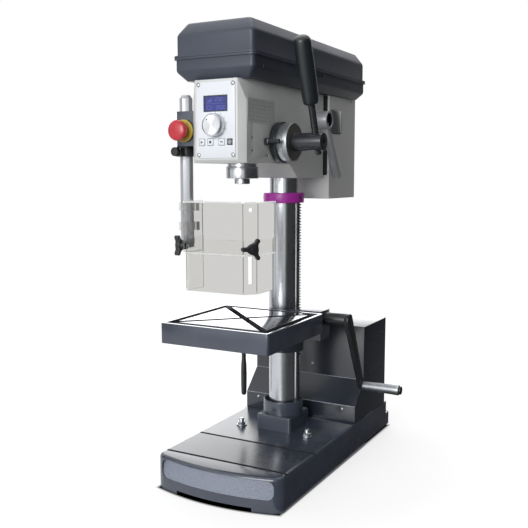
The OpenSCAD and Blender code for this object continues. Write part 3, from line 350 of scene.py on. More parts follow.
# finishes: noise as (scale, detail), drawn out by stretch; the grain lifts the surface by (strength, mm), and the
# cloud, or else the grain, runs the tones and the shine; names with a capital are sockets of the shader
looks = {
    # two-pack enamel sprayed on cast iron: orange peel about 1.5 mm across, satin shine, cloudy at hand size
    "castingPaint": {"grain": (620, 2), "cloud": (16, 4), "tones": ("#3a404d", "#444b59"), "shine": (0.17, 0.27),
                     "lift": (0.16, 0.4), "IOR": 1.6},
    # the same on the cabinet's sheet steel, its tones darker than on the castings as painted shade, for the shade that
    # the table and column cast on the cabinet
    "shadedSheetPaint": {"grain": (620, 2), "cloud": (12, 4), "tones": ("#292d36", "#31363f"), "lift": (0.14, 0.4),
                   "Roughness": 0.22, "IOR": 1.6},
    # enamel over the base's machined pad: flatter than the cast skin, so it mirrors what stands behind it
    "padPaint": {"stretch": (12, 700, 12), "grain": (1, 4), "cloud": (18, 4), "tones": ("#343945", "#3d4350"),
                 "shine": (0.19, 0.28), "shineBy": "grain", "lift": (0.05, 0.2), "IOR": 1.45},
    # pale grey on the beads along the cabinet front's folds: a painted highlight, the light line that the folded edges
    # catch
    "foldHighlightPaint": {"grain": (150, 4), "tones": ("#7d838d", "#a2a8b1"), "Roughness": 0.3},
    # thermoformed ABS hood, fine leather-like mould grain about 1 mm across
    "hoodPaint": {"grain": (1100, 3), "cloud": (9, 3), "tones": ("#333946", "#3c4250"), "shine": (0.36, 0.48),
                  "lift": (0.12, 0.4)},
    # light grey structured powder coat on the head and motor box: pimples about 1.2 mm across
    "headPaint": {"grain": (800, 2), "cloud": (11, 3), "tones": ("#d3d4d4", "#dcdddd"), "shine": (0.4, 0.52),
                  "lift": (0.16, 0.4)},
    # centreless-ground steel: grinding rings round the bar, drawn 1.5 mm apart so that they show
    "groundSteel": {"stretch": (6, 6, 700), "grain": (1, 4), "tones": ("#b4b7bc", "#c3c6ca"), "lift": (0.01, 0.1),
                    "Roughness": 0.27, "Metallic": 1.0},
    # surface-ground cast iron of the table: straight grinding lines, nearly a mirror at low angles
    "groundIron": {"stretch": (12, 900, 12), "grain": (1, 4), "cloud": (14, 3), "tones": ("#a3a5a8", "#b3b5b8"),
                   "tonesBy": "grain", "shine": (0.1, 0.18), "lift": (0.04, 0.2), "Metallic": 1.0},
    # machined cast iron, its dark tones painted shade in the table's gutter and slots, in the base's grooves and on the
    # rack's shaded teeth: cutter marks about 2 mm apart
    "slotShadeIron": {"stretch": (500, 500, 20), "grain": (1, 3), "tones": ("#26282c", "#3c3f45"), "lift": (0.15, 0.4),
                 "Roughness": 0.38},
    # cold-drawn steel of the hexagon rod and tension lever: clean flats with faint lines along Z
    "drawnSteel": {"stretch": (900, 900, 5), "grain": (1, 2), "tones": ("#afb2b7", "#bcbfc3"), "Roughness": 0.42,
                   "Metallic": 0.4},
    # bright zinc on screws and small steel parts, with a faint mottle
    "zincSteel": {"grain": (420, 3), "tones": ("#a9adb2", "#c6cacf"), "shine": (0.24, 0.4), "Metallic": 1.0},
    # satin-turned aluminium: turning lines across X, about 0.7 mm apart
    "satinAluminium": {"stretch": (1400, 8, 8), "grain": (1, 3), "tones": ("#989ca1", "#b3b7bb"),
                       "shine": (0.4, 0.5), "lift": (0.06, 0.2), "Metallic": 1.0},
    # aluminium brushed in rings about Y: the sheen spreads in bright spokes
    "ringBrushed": {"grain": (900, 2), "tones": ("#c3c6ca", "#d8dbde"), "Roughness": 0.34, "Metallic": 1.0,
                    "Anisotropic": 0.8},
    # purple stove enamel on the rack's retaining ring: smooth, glossy, a little orange peel
    "purpleEnamel": {"grain": (380, 2), "tones": ("#a62a9c", "#b534aa"), "lift": (0.1, 0.4), "Roughness": 0.32},
    # gloss black lacquer on turned steel: hub, rod and depth ring
    "blackLacquer": {"grain": (500, 2), "tones": ("#25272b", "#2f3237"), "shine": (0.2, 0.32)},
    # black oxide on forged steel: crank arm and lock lever, slightly cloudy
    "blackOxide": {"grain": (60, 5), "tones": ("#1d1e21", "#2b2d31"), "shine": (0.32, 0.48), "lift": (0.15, 0.4)},
    # glass-filled nylon mouldings: knobs, glands and clamp, matt with a spark grain
    "blackNylon": {"grain": (1300, 3), "tones": ("#151618", "#1f2023"), "lift": (0.2, 0.3), "Roughness": 0.42},
    # moulded PVC grip, dark green-grey, a little softer than the knobs
    "gripPlastic": {"grain": (1000, 3), "tones": ("#1c2124", "#22282b"), "lift": (0.12, 0.3), "Roughness": 0.38},
    # red and yellow moulded ABS of the stop switch, with faint flow marks
    "redPlastic": {"grain": (120, 3), "tones": ("#bb2a36", "#c63a45"), "Roughness": 0.3},
    "yellowPlastic": {"grain": (120, 3), "tones": ("#b39b33", "#c2ac46"), "Roughness": 0.35},
    # backlit LCD behind a clear window: unevenly lit blue, with pale bars
    "displayGlass": {"grain": (30, 2), "tones": ("#1f256a", "#282f7d"), "Roughness": 0.12, "Emission Strength": 0.25},
    "paleSegment": {"grain": (300, 2), "tones": ("#525cb0", "#636ec0"), "Roughness": 0.3, "Emission Strength": 0.12},
    # printed polyester film of the control panel: white, satin
    "panelFilm": {"grain": (1500, 2), "tones": ("#e3e7ee", "#eaeef4"), "lift": (0.06, 0.2), "Roughness": 0.38},
    # pale film of the head's side plate: faintly clouded, a little glossier than the paint
    "infoFilm": {"grain": (60, 3), "tones": ("#c3c5c5", "#cccecd"), "Roughness": 0.33},
    # screen ink on the panel and scales: flat, a little uneven
    "darkInk": {"grain": (900, 2), "tones": ("#23262b", "#30343a"), "Roughness": 0.5},
    "greyInk": {"grain": (900, 2), "tones": ("#8b9098", "#9aa0a8"), "Roughness": 0.5},
    # clear polycarbonate sheet of the guard, 3 mm, with fine rub marks
    "clearSheet": {"grain": (45, 5), "shine": (0.03, 0.09), "Base Color": toLinear("#cfcecc"),
                   "Transmission Weight": 1.0, "IOR": 1.05},
    # the same sheet, paler where the two halves overlap and on its wing by the rod: painted light that cancels the
    # darkening of light through two layers
    "lightenedLapSheet": {"grain": (45, 5), "shine": (0.02, 0.06), "Base Color": toLinear("#fbfbfa"),
                   "Transmission Weight": 1.0, "IOR": 1.03},
    # rolled lip of the clear sheet with a painted glow: its emission stands in for the pale line of light that runs
    # along inside the sheet and leaves here
    "glowingLip": {"grain": (120, 2), "tones": ("#c9cacb", "#d8d9da"), "Roughness": 0.15, "Emission Strength": 0.75},
    # moulded clear blocks that clip the guard to its rod: thick and glassy, their pale tone a painted highlight for the
    # light that gathers in them
    "clipHighlightClear": {"grain": (90, 3), "tones": ("#dcdddd", "#e8e9e9"), "Roughness": 0.1, "Alpha": 0.3},
    # sawn edge of the clear sheet: greyer, because light inside it runs out along the cut
    "cutEdge": {"grain": (300, 2), "tones": ("#a3a4a6", "#b5b6b8"), "Transmission Weight": 0.5, "Roughness": 0.2},
    # grey cast iron of the motor, painted: rough from the sand mould
    "motorPaint": {"grain": (200, 4), "tones": ("#4a4d52", "#5b5f64"), "lift": (0.3, 0.6), "Roughness": 0.55},
    # ribbed rubber of the belt: dull, with pale dust
    "beltRubber": {"grain": (400, 2), "tones": ("#17181a", "#26272a"), "Roughness": 0.7}}

for name, look in looks.items():
    tree, shader, spot = newFinish(name)
    weave = spot
    if "stretch" in look:
        weave = addNode(tree, "Mapping", {"Scale": look["stretch"], "Vector": spot}).outputs["Vector"]
    noise = {}
    for part, place in (("grain", weave), ("cloud", spot)):
        scale, detail = look.get(part, look["grain"])
        noise[part] = noise["grain"] if part not in look else addNode(
            tree, "TexNoise", {"Scale": scale, "Detail": detail, "Vector": place}).outputs["Fac"]
    if "tones" in look:
        tone = addNode(tree, "ValToRGB", {"Fac": noise[look.get("tonesBy", "cloud")]})
        setColours(tone, look["tones"])
        for socket in ("Base Color", "Emission Color")[:2 if "Emission Strength" in look else 1]:
            tree.links.new(tone.outputs["Color"], shader.inputs[socket])
    if "shine" in look:
        shine = addNode(tree, "MapRange", {"To Min": look["shine"][0], "To Max": look["shine"][1],
                                           "Value": noise[look.get("shineBy", "cloud")]})
        tree.links.new(shine.outputs["Result"], shader.inputs["Roughness"])
    if "lift" in look:
        lift = addNode(tree, "Bump", {"Strength": look["lift"][0], "Distance": look["lift"][1] * mm,
                                      "Height": noise["grain"]})
        tree.links.new(lift.outputs["Normal"], shader.inputs["Normal"])
    for socket in look:
        if socket in shader.inputs:
            shader.inputs[socket].default_value = look[socket]
    if name == "ringBrushed":
        around = addNode(tree, "Tangent", {"direction_type": "RADIAL", "axis": "Y"})
        tree.links.new(around.outputs["Tangent"], shader.inputs["Tangent"])
    if name == "beltRubber":
        ribs = addNode(tree, "TexWave", {"Scale": 60.0, "bands_direction": "Z", "Vector": spot})
        lift = addNode(tree, "Bump", {"Strength": 0.4, "Distance": 0.001, "Height": ribs.outputs["Fac"]})
        tree.links.new(lift.outputs["Normal"], shader.inputs["Normal"])

# enamel on the base's front, pebbled in the casting: grains about 1.7 mm across
tree, shader, spot = newFinish("pebblePaint")
grain = addNode(tree, "TexVoronoi", {"Scale": 600.0, "Randomness": 1.0, "Vector": spot}).outputs["Distance"]
fine = addNode(tree, "TexNoise", {"Scale": 900.0, "Detail": 2.0, "Vector": spot}).outputs["Fac"]
mix = addNode(tree, "Math", {"operation": "ADD", 0: grain, 1: fine}).outputs["Value"]
tone = addNode(tree, "ValToRGB", {"Fac": grain})
setColours(tone, ("#9ea5b4", "#7d8494"), (0.1, 0.6))
lift = addNode(tree, "Bump", {"Strength": 0.55, "Distance": 0.0011, "Height": mix})
tree.links.new(tone.outputs["Color"], shader.inputs["Base Color"])
tree.links.new(lift.outputs["Normal"], shader.inputs["Normal"])
shader.inputs["Roughness"].default_value = 0.36

# faced steel end of the scale drum: turning rings in the face, darker than its rim
tree, shader, spot = newFinish("facedSteel")
centred = addNode(tree, "Mapping", {"Location": (0, 0.1438, -0.7135), "Vector": spot}).outputs["Vector"]
rings = addNode(tree, "TexWave", {"Scale": 110.0, "wave_type": "RINGS", "rings_direction": "X", "Distortion": 0.4,
                                  "Vector": centred})
tone = addNode(tree, "ValToRGB", {"Fac": rings.outputs["Fac"]})
setColours(tone, ("#7b7a77", "#868582"), (0.2, 0.8))
tree.links.new(tone.outputs["Color"], shader.inputs["Base Color"])
shader.inputs["Metallic"].default_value = 0.9
shader.inputs["Roughness"].default_value = 0.42
print("finishes made")

# camera, light and floor
stage = {"cameraAt": (0.7912, -1.5472, 0.6466), "yaw": 28.549, "pitch": 6.533, "lens": 770.56 / 528 * 36,
         "sensor": 36, "aimAt": (0, -0.1, 0.45), "ambient": 0.26, "cardTone": 0.075, "cardRough": 0.9,
         "floorSize": 16, "floorAt": -0.0004, "floorTone": 0.4, "toneRun": (0.8, 1.6), "floorRough": 0.7,
         # the keys after glowRun outline the painted contact shadow on the floor under the base
         "floorGlow": (0.72, 1.0), "glowRun": (0.35, 1.3), "footHalf": 0.141, "footMid": -0.007, "footLong": 0.307,
         "footBow": -1.114, "footSoft": 0.008}
# place, power and size of each lamp
lamps = {"key": ((0.15, -3.1, 1.2), 67, 1.5), "fill": ((-2.2, -2.3, 1.3), 18, 3.2),
         "top": ((-0.5, 0.4, 3.0), 26, 2.2), "back": ((-1.5, 2.7, 1.0), 34, 2.4)}
# dark cards that show in reflections alone, for the shaded right side and the upright bands on bright steel:
# centre, width, height, lean from lying flat, turn
cards = [((1.75, -1.15, 1.1), 1.2, 2.4, 90, 60), ((0.89, -2.44, 1.1), 0.25, 2.4, 90, 20),
         ((1.95, 0.45, 1.1), 3.0, 2.4, 90, 90), ((1.25, 2.3, 1.1), 1.7, 2.4, 90, 155),
         ((1.375, 0.5, 0.001), 2.45, 4.4, 0, 0), ((-1.75, -2.0, 0.7), 0.4, 2.6, 90, -42),
         ((-2.3, -0.7, 0.7), 1.3, 2.6, 90, -75)]


def seenWhite(tree):
    # 1 for rays from the camera, also through clear sheet and off bright metal, and 0 for light on the object
    rays = addNode(tree, "LightPath").outputs
    seen = addNode(tree, "Math", {"operation": "MAXIMUM", 0: rays["Is Camera Ray"], 1: rays["Is Transmission Ray"]})
    return addNode(tree, "Math", {"operation": "MAXIMUM", 0: seen.outputs[0], 1: rays["Is Glossy Ray"]}).outputs[0]


def lightRoom():
    s = named(stage)
    deselect()
    bpy.ops.object.camera_add(location=s.cameraAt, rotation=(math.radians(90 - s.pitch), 0, math.radians(s.yaw)))
    camera = bpy.context.object
    camera.data.lens = s.lens
    camera.data.sensor_width = s.sensor
    camera.data.clip_start = 0.05
    bpy.context.scene.camera = camera
    for place, power, size in lamps.values():
        bpy.ops.object.light_add(type="AREA", location=place)
        light = bpy.context.object
        light.data.energy = power
        light.data.size = size
        light.visible_camera = light.visible_transmission = False
        light.rotation_euler = (Vector(s.aimAt) - light.location).to_track_quat("-Z", "Y").to_euler()
    world = bpy.data.worlds.new("paleRoom")
    bpy.context.scene.world = world
    world.use_nodes = True
    tree = world.node_tree
    tree.nodes.clear()
    level = addNode(tree, "MapRange", {"To Min": s.ambient, "To Max": 1.0, "Value": seenWhite(tree)})
    sky = addNode(tree, "Background", {"Color": (1, 1, 1, 1), "Strength": level.outputs["Result"]})
    addNode(tree, "OutputWorld", {"Surface": sky.outputs["Background"]})


def layFloor():
    # white floor that keeps the shadow near the machine, with a painted contact shadow under the base, and runs out to
    # the white of the room
    s = named(stage)
    deselect()
    bpy.ops.mesh.primitive_plane_add(size=s.floorSize, location=(0, 0, s.floorAt))
    floor = bpy.context.object
    floor.name = "floor"
    tree, shader, spot = newFinish("floorWhite")
    seen = seenWhite(tree)
    away = addNode(tree, "VectorMath", {"operation": "LENGTH", 0: spot}).outputs["Value"]
    glow = addNode(tree, "MapRange", {"From Min": s.glowRun[0], "From Max": s.glowRun[1], "To Min": s.floorGlow[0],
                                      "To Max": s.floorGlow[1], "Value": away})
    shade = addNode(tree, "MapRange", {"From Min": s.toneRun[0], "From Max": s.toneRun[1], "To Min": s.floorTone,
                                       "To Max": 0.0, "Value": away})
    # painted shadow: the floor's colour and glow go black under the base and just round it, as a contact shadow with
    # the bow of the base's front
    place = addNode(tree, "SeparateXYZ", {"Vector": spot}).outputs
    across = addNode(tree, "Math", {"operation": "ABSOLUTE", 0: place["X"]})
    across = addNode(tree, "Math", {"operation": "SUBTRACT", 0: across.outputs[0], 1: s.footHalf})
    bowed = addNode(tree, "Math", {"operation": "MULTIPLY", 0: place["X"], 1: place["X"]})
    along = addNode(tree, "Math", {"operation": "MULTIPLY_ADD", 0: bowed.outputs[0], 1: s.footBow, 2: place["Y"]})
    along = addNode(tree, "Math", {"operation": "SUBTRACT", 0: along.outputs[0], 1: s.footMid})
    along = addNode(tree, "Math", {"operation": "ABSOLUTE", 0: along.outputs[0]})
    along = addNode(tree, "Math", {"operation": "SUBTRACT", 0: along.outputs[0], 1: s.footLong})
    outside = addNode(tree, "Math", {"operation": "MAXIMUM", 0: across.outputs[0], 1: along.outputs[0]})
    clear = addNode(tree, "MapRange", {"From Min": 0.0, "From Max": s.footSoft, "Value": outside.outputs[0]})
    for part, socket in ((shade, "Base Color"), (glow, "Emission Strength")):
        part = addNode(tree, "Math", {"operation": "MULTIPLY", 0: part.outputs["Result"], 1: clear.outputs["Result"]})
        if socket == "Emission Strength":
            part = addNode(tree, "Math", {"operation": "MULTIPLY", 0: part.outputs[0], 1: seen})
        tree.links.new(part.outputs[0], shader.inputs[socket])
    shader.inputs["Roughness"].default_value = s.floorRough
    shader.inputs["Specular IOR Level"].default_value = 0.0
    shader.inputs["Emission Color"].default_value = (1, 1, 1, 1)
    paint(floor, "floorWhite")


def standCards():
    # black felt: takes in nearly all light
    shader = newFinish("cardBlack")[1]
    shader.inputs["Base Color"].default_value = (stage["cardTone"],) * 3 + (1,)
    shader.inputs["Roughness"].default_value = stage["cardRough"]
    for place, wide, high, lean, turn in cards:
        deselect()
        bpy.ops.mesh.primitive_plane_add(size=1, location=place, rotation=(math.radians(lean), 0, math.radians(turn)))
        card = bpy.context.object
        card.scale = (wide, high, 1)
        card.name = "card"
        card.visible_camera = card.visible_diffuse = card.visible_transmission = card.visible_shadow = False
        paint(card, "cardBlack")


lightRoom()
layFloor()
standCards()
bpy.context.scene.view_settings.view_transform = "Standard"
print("camera and light set")

# base casting: bowed front with a pebbled recess, ground pad between two grooves
baseSize = {"half": 146, "flat": 134, "corner": 12, "front": 314, "bow": 20, "rear": 327, "top": 72, "softEdge": 8,
            "softEnd": 70, "cornerRound": 7, "wall": 12, "padFront": 259, "padRear": 132, "grooveWide": 8,
            "grooveDeep": 4, "rib": 61, "rearWall": 283, "tailFrom": 283.5, "tailTop": 40, "tailAt": 295, "lift": 8,
            "rearStep": 151, "gapHalf": 87.6, "recessHalf": 131, "recessLow": 26, "recessHigh": 66, "recessIn": 1.4,
            "recessSlope": 8, "recessRound": 15}


def bowAt(x):
    return -baseSize["front"] + baseSize["bow"] * (x / baseSize["flat"]) ** 2


def buildBase():
    s = named(baseSize)
    bow = [(s.flat * k / 12, bowAt(s.flat * k / 12)) for k in range(-12, 13)]
    side = s.bow + s.corner - s.front
    rear = [(s.half, side), (s.half, s.rear - s.corner), (s.flat, s.rear)]
    outline = bow + rear + [(-x, y) for x, y in reversed(rear)]
    casting = plate("base_casting", [at(x, y, 0) for x, y in outline], at(0, 0, s.top))
    roundEdges(casting, lambda a, b: abs(a.z - b.z) > 0.01 and a.y < (side + 1) * mm
               and abs(a.x) > (s.flat - 1) * mm, s.cornerRound, 4)
    splitAt(casting, at(0, s.softEnd, 0), toBack)
    roundEdges(casting, lambda a, b: min(a.z, b.z) > (s.top - 1) * mm and max(a.y, b.y) < (s.softEnd + 0.1) * mm
               and min(a.y, b.y) < (s.softEnd - 1) * mm, s.softEdge, 5)

    inner, roof, out = s.half - s.wall, s.top - s.wall, s.half + 1
    grooves = (s.padFront, s.padRear)
    cuts = [((-inner, s.bow + 2 * s.wall - s.front, -1), (inner, -s.rib, roof)),
            ((-inner, s.rib, -1), (inner, s.rearWall, roof)),
            ((-inner, s.tailFrom, -1), (inner, s.rear - 2 * s.wall, s.tailTop - s.wall))]
    cuts += [((-out, -edge - s.grooveWide, s.top - s.grooveDeep), (out, -edge, s.top + 1)) for edge in grooves]
    steps = [((-out, s.tailAt, s.tailTop), (out, s.rear + 1, s.top + 1)),
             ((-out, s.rearStep, -1), (out, s.rear + 1, s.lift)),
             ((-s.gapHalf, -s.front - 1, -1), (s.gapHalf, -s.padFront, s.lift))]
    for group in (cuts, steps):
        combine(casting, joined("cuts", [brick("cut", at(*low), at(*high)) for low, high in group]))

    # the recess follows the bow and leans back towards its top
    low, high, wide = s.recessLow, s.recessHigh, s.recessHalf
    slab = plate("recess_slab", [at(x, y + s.recessIn, low - 1) for x, y in bow]
                 + [at(x, -s.front - 30, low - 1) for x in (s.flat, -s.flat)], at(0, 0, high - low + 2))
    pick(slab, "VERT", lambda p: p.z > high * mm and p.y > (-s.front - 20) * mm)
    bpy.ops.transform.translate(value=at(0, s.recessSlope, 0))
    leaveEdit()
    shape = plate("recess_shape", [at(x, -s.front - 25, z) for x, z in oblong((-wide, low), (wide, high))],
                  at(0, 80, 0), s.recessRound, 6)
    combine(slab, shape, "INTERSECT")
    combine(casting, slab)

    paint(casting, "castingPaint", "pebblePaint", "padPaint", "slotShadeIron")
    paintFaces(casting, 1, lambda c, n: abs(c.x) < wide * mm and low * mm < c.z < high * mm and n.y < -0.5
               and 0.8 * mm < c.y - bowAt(c.x / mm) * mm < 12 * mm)
    paintFaces(casting, 2, lambda c, n: c.z > (s.top - 0.1) * mm and n.z > 0.9
               and -s.padFront * mm < c.y < -s.padRear * mm)
    # the grooves' faces get painted shade
    paintFaces(casting, 3, lambda c, n: (s.top - s.grooveDeep - 0.1) * mm < c.z < (s.top - 0.5) * mm
               and (n.z > 0.9 or abs(n.y) > 0.9)
               and any(-edge - s.grooveWide - 0.1 < c.y / mm < -edge + 0.1 for edge in grooves))
    fit(casting, "base")


buildBase()

boltSize = {"x": 84, "y": -47, "seat": 72, "washer": 12, "washerHigh": 2.5, "nut": 10, "nutHigh": 9, "stud": 6,
            "root": -30, "tip": 17, "pitch": 0.75, "thread": 0.35}


def buildBaseBolts():
    s = named(boltSize)
    nut = [(0, 2), (s.nut - 0.8, 2), (s.nut, 2.8), (s.nut, s.nutHigh - 1.2), (s.nut - 1.6, s.nutHigh), (0, s.nutHigh)]
    stud = [(0, s.root)] + [(s.stud - s.thread * (k % 2), s.root + k * s.pitch) for k in range(60)]
    stud += [(s.stud - 0.4, s.tip - 1), (s.stud - 1.4, s.tip), (0, s.tip)]
    parts = []
    for x in (-s.x, s.x):
        for line, steps in ((roundBar(s.washer, 0, s.washerHigh, 0.6), 40), (nut, 6), (stud, 24)):
            parts.append(turned("bolt", line, at(x, s.y, s.seat), toTop, steps))
    fit(joined("base_bolts_zinc", parts), "base_bolts", "zincSteel", angle=28)


buildBaseBolts()

# pedestal and collar in one casting, with a grub screw in the collar
footSize = {"half": 43, "deep": 49, "low": 72, "step": 106, "top": 136, "corner": 6, "stepEdge": 3, "collar": 45.2,
            "collarEdge": 1.4, "bore": 32.5, "recess": 41.7, "recessDeep": 9, "boreLow": 60, "boreHigh": 160,
            "grubAt": 121}


def buildFoot():
    s = named(footSize)
    block = plate("column_foot_block", [at(x, y, s.low) for x, y in oblong((-s.half, -s.deep), (s.half, s.deep))],
                  at(0, 0, s.step - s.low), s.corner)
    roundEdges(block, lambda a, b: min(a.z, b.z) > (s.step - 1) * mm, s.stepEdge, 4)
    collar = roundRing(s.collar, s.bore + 0.5, s.step - 8, s.top, s.collarEdge)
    combine(block, turned("collar", collar, at(0, 0, 0), toTop, 72), "UNION")
    for r, low in ((s.bore, s.boreLow), (s.recess, s.top - s.recessDeep)):
        combine(block, turned("bore", [(0, low), (r, low), (r, s.boreHigh), (0, s.boreHigh)], at(0, 0, 0), toTop, 72))
    paint(block, "castingPaint")
    grub = screwHead(at(0, 0.5 - s.collar, s.grubAt), -toBack, 4, 0.9, "blackOxide")
    fit(joined("column_foot_casting", [block, grub]), "column_foot")


buildFoot()

# purple ring that keeps the rack's upper end, with two grub screws
ringSize = {"r": 45.7, "bore": 32.5, "boreEdge": 0.6, "recess": 41.7, "low": 587, "high": 609, "step": 594, "edge": 1.4,
            "grubAt": 599, "grubs": (-150, -10)}


def buildRackRing():
    s = named(ringSize)
    line = ([(s.bore, s.step), (s.recess, s.step), (s.recess, s.low)] + rim(s.r, s.low, s.high, s.edge, s.edge)
            + [(s.bore + s.boreEdge, s.high), (s.bore, s.high - s.boreEdge), (s.bore, s.step)])
    parts = [turned("rack_ring_enamel", line, at(0, 0, 0), toTop, 96, "purpleEnamel")]
    for turn in s.grubs:
        out = Vector((math.cos(math.radians(turn)), math.sin(math.radians(turn)), 0))
        parts.append(screwHead(out * (s.r - 0.5) * mm + at(0, 0, s.grubAt), out, 3.6, 0.8, "blackOxide"))
    fit(joined("rack_ring_enamel", parts), "rack_ring")


buildRackRing()
print("base and column foot built")

# table: raised rim, gutter, ground face and two crossed slots
tableSize = {"half": 123.5, "front": 303, "rear": 54, "top": 352.5, "skirt": 42, "plate": 24, "skirtWall": 9, "rim": 7,
             "gutter": 14, "gutterDeep": 7, "mouth": 15, "mouthDeep": 8, "foot": 19, "footHigh": 7, "reach": 155.6,
             "armHalf": 43, "corner": 5, "edge": 1.2, "hollowRound": 6}


def crossBar(wide, low, high, turn):
    s = named(tableSize)
    along = Vector((math.cos(turn), math.sin(turn), 0)) * s.reach * mm
    side = Vector((-math.sin(turn), math.cos(turn), 0)) * wide / 2 * mm
    middle = at(0, -(s.front + s.rear) / 2, low)
    return plate("slot", [middle - along - side, middle + along - side, middle + along + side, middle - along + side],
                 at(0, 0, high - low))


def buildTable():
    s = named(tableSize)
    low, roof, wall = s.top - s.skirt, s.top - s.plate, s.skirtWall
    table = brick("table_casting", at(-s.half, -s.front, low), at(s.half, -s.rear, s.top))
    pick(table, "FACE", lambda c, n: n.z > 0.9)
    bpy.ops.mesh.inset(thickness=s.rim * mm)
    bpy.ops.mesh.inset(thickness=s.gutter * mm)

    def within(c, edge):
        return abs(c.x) < (s.half - edge) * mm and (edge - s.front) * mm < c.y < (-s.rear - edge) * mm

    pick(table, "FACE", lambda c, n: n.z > 0.9 and within(c, s.rim) and not within(c, s.rim + s.gutter))
    pushOut(at(0, 0, -s.gutterDeep))
    leaveEdit()
    roundEdges(table, lambda a, b: abs(a.z - b.z) > (s.gutterDeep - 1) * mm, s.corner, 4)
    softEdges(table, s.edge, 3, 40)
    face = s.top - s.mouthDeep
    for turn in (math.pi / 4, -math.pi / 4):
        combine(table, crossBar(s.mouth, face - 1, s.top + 1, turn))
        combine(table, crossBar(s.foot, face - s.footHigh, face, turn))
    hollow = brick("hollow", at(wall - s.half, wall - s.front, low - 1), at(s.half - wall, -s.rear - wall, roof))
    roundEdges(hollow, lambda a, b: abs(a.z - b.z) > 0.01, s.hollowRound, 3)
    combine(table, hollow)
    combine(table, brick("arm_notch", at(-s.armHalf, -s.rear - wall - 1, low - 1), at(s.armHalf, -s.rear + 1, roof)))
    paint(table, "castingPaint", "groundIron", "slotShadeIron")
    paintFaces(table, 1, lambda c, n: c.z > (s.top - 0.3) * mm and n.z > 0.6)
    # the gutter and slots get painted shade
    paintFaces(table, 2, lambda c, n: roof * mm < c.z < (s.top - 0.4) * mm and within(c, s.rim - 0.1))
    fit(table, "table", angle=25)


buildTable()
print("table built")

# head casting: the front corners break into facets under the hood
headSize = {"half": 60, "front": 284, "chamfer": 12.6, "top": 828.5, "facetLow": 788, "facetBack": 236, "edge": 1.5}


def buildHead():
    s = named(headSize)
    shell = copyNode("head_casting", "head_shell")
    for hand in (-1, 1):
        high = at(hand * (s.half - s.chamfer), -s.front, s.top)
        low = at(hand * s.half, s.chamfer - s.front, s.facetLow)
        back = at(hand * s.half, -s.facetBack, s.top)
        out = (low - high).cross(back - high).normalized()
        if out.x * hand < 0:
            out.negate()
        splitAt(shell, high, out, use_fill=True, clear_outer=True)
    softEdges(shell, s.edge, 3)
    fit(shell, "head_casting", "headPaint")


buildHead()

# control panel: printed film, cut out for the display and the keys, with ticks round the knob
panelSize = {"half": 43, "low": 680, "high": 823, "front": 286, "back": 284, "corner": 4, "edge": 0.4,
             "showHalf": 27, "showLow": 767.5, "showHigh": 798.5, "keyHalf": 6.25, "keyAt": 710.5,
             "keys": (-30.5, -11.5, 13.5, 31.5), "frameOut": 0.5, "frameLine": 0.25, "knobAt": 742, "tickHalf": 0.35,
             "tickIn": 23.2, "tickOut": 25.6, "ticks": 10, "tickSweep": 270}


def buildPanel():
    s = named(panelSize)
    film = plate("panel_film", [at(x, -s.back, z) for x, z in oblong((-s.half, s.low), (s.half, s.high))],
                 at(0, s.back - s.front, 0), s.corner)
    softEdges(film, s.edge, 2, 60)
    paint(film, "panelFilm")
    holes = [(-s.showHalf, s.showLow, s.showHalf, s.showHigh)]
    holes += [(x - s.keyHalf, s.keyAt - s.keyHalf, x + s.keyHalf, s.keyAt + s.keyHalf) for x in s.keys]
    holes = [brick("hole", at(x0, -s.front - 1, z0), at(x1, -s.back + 1, z1), "panelFilm") for x0, z0, x1, z1 in holes]
    combine(film, joined("panel_holes", holes))
    centre = at(0, -s.front, s.knobAt)
    tick = brick("ticks", centre + at(-s.tickHalf, -0.12, s.tickIn), centre + at(s.tickHalf, 0.3, s.tickOut), "darkInk")
    edit(tick)
    bpy.ops.transform.rotate(value=math.radians(-s.tickSweep / 2), orient_axis="Y", center_override=centre)
    bpy.ops.mesh.spin(steps=s.ticks, dupli=True, angle=math.radians(s.tickSweep), center=centre, axis=toBack)
    leaveEdit()
    # printed frame round each pale key
    frames, out = [], s.keyHalf + s.frameOut
    for x in s.keys[:3]:
        for across, along in ((-1, 0), (1, 0), (0, -1), (0, 1)):
            wide, high = (s.frameLine, out) if across else (out, s.frameLine)
            middle = at(x + across * out, -s.front, s.keyAt + along * out)
            frames.append(brick("frame", middle + at(-wide, -0.08, -high), middle + at(wide, 0.3, high), "darkInk"))
    fit(joined("panel_film", [film, tick] + frames), "panel_plate")


buildPanel()

# display: dark bezel, blue field and pale bars in the way of a plain counter
showSize = {"half": 27, "low": 767.5, "high": 798.5, "front": 285, "back": 278, "bezel": 2.2, "sink": 0.7,
            "digitHigh": 6.4, "digitWide": 3.6, "stroke": 0.8,
            "rows": ((790.5, (-4, 1.4, 6.8, 12.2), (1, 2, 5, 0)), (775.5, (3, 8.4, 13.8, 19.2), (2, 5, 0, 0)))}
# bars that light up for each figure: top, upper left, upper right, middle, lower left, lower right, bottom
figureBars = {0: "1110111", 1: "0010010", 2: "1011101", 5: "1101011"}
# rising bars, a rule across and a small frame, in the way of a speed gauge: x, z, width, height
gaugeBars = [(-20 + k * 2.4, 786.5 + k * 0.7, 1.2, 1.4 + 1.4 * k) for k in range(5)]
gaugeBars += [(0, 783, 44, 0.5), (-15, 778.5, 10, 0.7), (-15, 772.5, 10, 0.7), (-20, 775.5, 0.7, 6),
              (-10, 775.5, 0.7, 6), (19, 792.5, 5, 0.7), (19, 788.5, 5, 0.7)]


